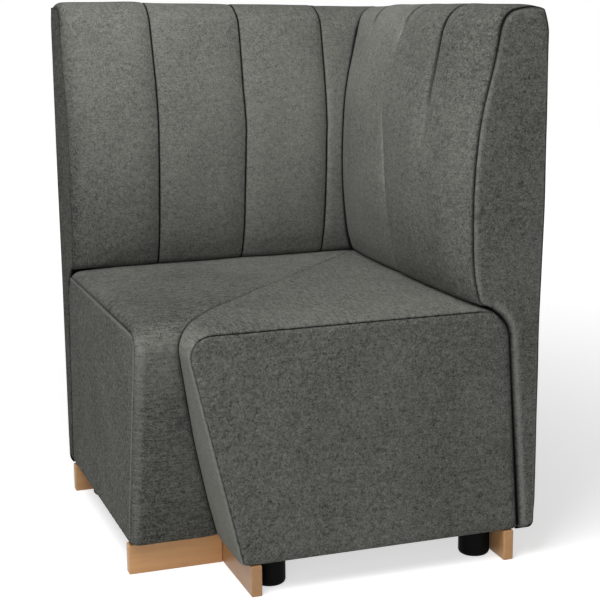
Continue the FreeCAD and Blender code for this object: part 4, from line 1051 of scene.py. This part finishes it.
def back_end_grid(seam):
    """The back's end: in front it follows the plywood up to the seat's rear roll, goes round that as
    an arc and then along the seam, and its rear edge lies just inside the rear cover."""
    waist, foot = rear_at(SHOULDER) - REAR_RADIUS, rear_at(FOOT_HEIGHT)
    radius = REAR_RADIUS + INNER_CLEARANCE - TURN_STAND
    turn = np.linspace(0, math.acos((tuck_across + HEEL_RUN_OUT - waist) / radius), 40)
    heel = np.array([waist, SHOULDER]) + radius * np.stack([np.cos(turn), np.sin(turn)], 1)
    rise = rounded_path([(foot + TOE_SPLIT, FOOT_HEIGHT), (foot + INNER_CLEARANCE - TURN_STAND, FOOT_HEIGHT),
                         heel[0]], [TOE_RADIUS], RISE_STEP)
    highest = int(seam[:, 1].argmax())
    front = np.concatenate([rise[:-1], heel, seam[:highest]])
    top = seam[highest - 1:]
    lower_rear = (REAR_EDGE, FOOT_HEIGHT + REAR_SPLIT)
    rear = resampled(np.array([lower_rear, (REAR_EDGE, top[-1, 1])]), PLAIN_STEP)
    rear[:, 0] += rear_bulge(rear[:, 1])
    bottom = rounded_path([(foot + TOE_SPLIT, FOOT_HEIGHT), (REAR_EDGE, FOOT_HEIGHT), lower_rear],
                          [LOWER_REAR_RADIUS], PANEL_STEP)
    return filled(bottom, top, front, rear, *BACK_END_GRID)


for wing in WINGS:
    piece = end_panel(wing + "_seat_end_cloth", seat_end_grid(SEAT_END_ROLL[wing][1]), sewn_seat, wing,
                      wing + "_seat_end_cover", PANEL_PHASES["seat"], SEAT_SEAM_SHADE_STRENGTHS[wing],
                      NOSE_SEAM_RISE, SEAT_SEAM_SHADE, SEAT_END_HIGHLIGHTS[wing])
    seam = back_seam(wing)
    tuck_across = seam[0, 0]
    piece = end_panel(wing + "_back_end_cloth", back_end_grid(seam), sewn_back, wing,
                      wing + "_back_end_cover", PANEL_PHASES["back"], BACK_END_SHADE_STRENGTHS[wing],
                      TOP_SEAM_RISE, TOP_SEAM_SHADE, BACK_END_HIGHLIGHTS[wing], END_PAINTED_SHADE[wing], FOLDS[wing])


# Rear covers: one plain panel of cloth over thin wadding behind each wing, sewn to the channels at
# the top and to the other panel at the corner, and turned under at the bottom.
REAR_TURN = 0.012
REAR_THICKNESS = 0.0038
REAR_START = 0.664
REAR_TOP = base_up[-1] - 0.0008
REAR_GAP = 0.0003
REAR_ROLLS = (0.005, 0.006)
REAR_TOP_ROLL = 0.007
REAR_SINK = 0.002
REAR_RIPPLE = 0.0004
UP_SHARE = 0.2
INNER_LIFT = 0.0006
DROP_START = 0.75
REAR_PHASE = 5.1
REAR_COLUMNS = 80

rear_line = rounded_path([(REAR_START, FOOT_HEIGHT - REAR_GAP), (MODULE_WIDTH, FOOT_HEIGHT - REAR_GAP),
                          (MODULE_WIDTH, REAR_TOP)], [REAR_TURN], PATH_STEP)
rear_across, rear_up = rear_line[:, :1], rear_line[:, 1:]
out_across, out_up = -outward(rear_line).T[..., None]
rear_run = run_length(rear_line)
for wing in WINGS:
    end = (rear_across + out_across * rear_bulge(rear_up))[:, 0]
    places, first_sunk, last_sunk = seam_to_seam(np.full(len(rear_line), SEAM_PLACES[wing]), end - REAR_GAP,
                                                 *REAR_ROLLS, REAR_COLUMNS)
    top_sunk = tucked(rear_run[-1] - rear_run, REAR_TOP_ROLL)[:, None]
    sink = REAR_SINK * np.maximum(np.maximum(first_sunk, last_sunk), top_sunk)
    sink = sink + REAR_RIPPLE * (1 + ripple(places, rear_run[:, None], REAR_PHASE)) - rear_bulge(rear_up)
    top_drop = TOP_FALL * fall_share[-1] * places / MODULE_WIDTH
    top_drop = top_drop * smooth(rear_up, DROP_START, REAR_TOP - DROP_START)
    # Painted shade towards the seams at both sides.
    shade = np.exp(-np.minimum(places - places[:, :1], places[:, -1:] - places) / END_SEAM_SHADE)
    outer = wing_points(rear_across - out_across * sink, places,
                        rear_up - out_up * sink * UP_SHARE - top_drop, wing)
    inner = wing_points(rear_across - out_across * REAR_THICKNESS,
                        np.minimum(places, (np.minimum(end, MODULE_WIDTH) - REAR_THICKNESS)[:, None]),
                        rear_up - out_up * INNER_LIFT - top_drop, wing)
    cloth = on_cloth(places, rear_run)
    skin = shell(wing + "_back_rear_cloth", outer[::-1], inner[::-1], cloth[::-1], shade[::-1], wing,
                 end_cloth[wing])
    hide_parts(wing + "_back_outer_cover")


# Foot boards: four boards of planed beech with a clear satin lacquer, screwed up into the seat box.
# The grain runs along each board. Each board's tone scales one beech lighter or darker as painted
# light and shade, for the light that falls on it.
BANDS_PER_METRE = 70.0
PORES_PER_METRE = 900.0
PATCHES_PER_METRE = 18.0
BAND_STRETCH = (0.06, 1, 1)
PORE_STRETCH = (0.05, 1, 1)
WOOD_BUMP = (0.2, 0.0002)

wood_group, given, result = pattern_group("board_grain", {
    "Grain": "Vector", "Dark": "Color", "Light": "Color"})
tree, grain = wood_group, given["Grain"]
bands = noise(tree, mapped(tree, grain, "Scale", BAND_STRETCH), BANDS_PER_METRE, 4.0, 0.6, 0.4)
pores = noise(tree, mapped(tree, grain, "Scale", PORE_STRETCH), PORES_PER_METRE, 2.0, 0.6)
patch = noise(tree, grain, PATCHES_PER_METRE, 2.0, 0.5)
tone = weighted_sum(tree, -0.125, (bands, 0.7), (pores, 0.3), (patch, 0.25))
tree.links.new(color_between(tree, tone, given["Dark"], given["Light"]), result["Color"])
tree.links.new(pores, result["Height"])


def wood_material(name, dark, light, turn, roughness):
    """Wood on Object coordinates; turn is the angle of the grain from the x axis."""
    material, tree = new_material(name)
    grain = mapped(tree, add_node(tree, "ShaderNodeTexCoord").outputs["Object"], "Rotation", turn)
    pattern = add_node(tree, "ShaderNodeGroup", {
        "Grain": grain, "Dark": dark, "Light": light}, node_tree=wood_group).outputs
    add_surface(tree, pattern["Color"], pattern["Height"], *WOOD_BUMP, {"Roughness": roughness})
    return material


def dress(node, material):
    """Give a CAD node that stays a better material."""
    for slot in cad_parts[node].material_slots:
        slot.material = material


ALONG_X = (0, 0, 0)
ALONG_Y = (0, 0, math.pi / 2)
UPRIGHT = (0, math.pi / 2, 0)
BEECH_DARK = (0.37, 0.171, 0.065)
BEECH_LIGHT = (0.68, 0.391, 0.172)
# Lighter and darker copies of one beech as painted light and shade.
BOARD_LIGHT_TONES = {"left_front": 1.06, "left_rear": 0.88, "right_front": 0.75, "right_rear": 0.98}
for board, factor in BOARD_LIGHT_TONES.items():
    turn = ALONG_X if board.startswith("left") else ALONG_Y
    beech = wood_material("beech_" + board, toned(BEECH_DARK, factor), toned(BEECH_LIGHT, factor), turn, 0.42)
    dress(board + "_foot_board", beech)


# Frame inside the covers: panels and ribs of birch plywood, rails and a corner post of planed
# softwood, and rear boards of hardboard. All of it is raw, since the cloth hides it.
plywood = wood_material("raw_plywood", (0.4, 0.27, 0.15, 1), (0.62, 0.47, 0.3, 1), ALONG_X, 0.7)
softwood = wood_material("raw_softwood", (0.45, 0.3, 0.16, 1), (0.66, 0.48, 0.28, 1), ALONG_Y, 0.7)
hardboard = wood_material("raw_hardboard", (0.14, 0.08, 0.04, 1), (0.24, 0.14, 0.07, 1), UPRIGHT, 0.6)
for wing in WINGS:
    for board in ("base_panel", "seat_end_panel", "seat_front_panel", "seat_rear_panel", "seat_deck",
                  "back_facing_board", "back_end_rib"):
        dress("%s_%s" % (wing, board), plywood)
    for rail in ("back_bottom_rail", "back_seat_rail", "back_top_rail"):
        dress("%s_%s" % (wing, rail), softwood)
    dress(wing + "_back_rear_board", hardboard)
dress("seat_mitre_web", plywood)
dress("back_corner_post", softwood)


# Round feet: five feet under the seat box, moulded of black plastic with a fine grained skin. Each is
# held by a screw of its own.
def grained_material(name, color, roughness, metallic, scale, depth, shine=0.5):
    """A plain finish with a fine noise in its colour, gloss and surface."""
    material, tree = new_material(name)
    speck = noise(tree, add_node(tree, "ShaderNodeTexCoord").outputs["Object"], scale, 3.0, 0.6)
    speckled = color_between(tree, speck, toned(color, 0.75), toned(color, 1.25))
    gloss = math_node(tree, "MULTIPLY_ADD", speck, 0.2, roughness - 0.1)
    add_surface(tree, speckled, speck, 0.3, depth, {
        "Roughness": gloss, "Metallic": metallic, "Specular IOR Level": shine})
    return material


glide_plastic = grained_material("black_plastic", (0.004, 0.004, 0.004), 0.6, 0.0, 1500.0, 0.0002, 0.05)
for number in range(1, 6):
    dress("glide_foot_%d" % number, glide_plastic)


# Dust cover and fasteners: the cover is black felt stapled under the seat box. The screws, bolts and
# threaded inserts are zinc-plated steel.
dress("dust_cover", grained_material("black_felt", (0.02, 0.02, 0.02), 0.9, 0.0, 600.0, 0.0006))
zinc = grained_material("zinc_plate", (0.5, 0.5, 0.51), 0.35, 1.0, 400.0, 0.0001)
for metal in ("foot_board_screws", "glide_foot_screws", "seat_to_back_bolts", "seat_to_back_inserts"):
    dress(metal, zinc)
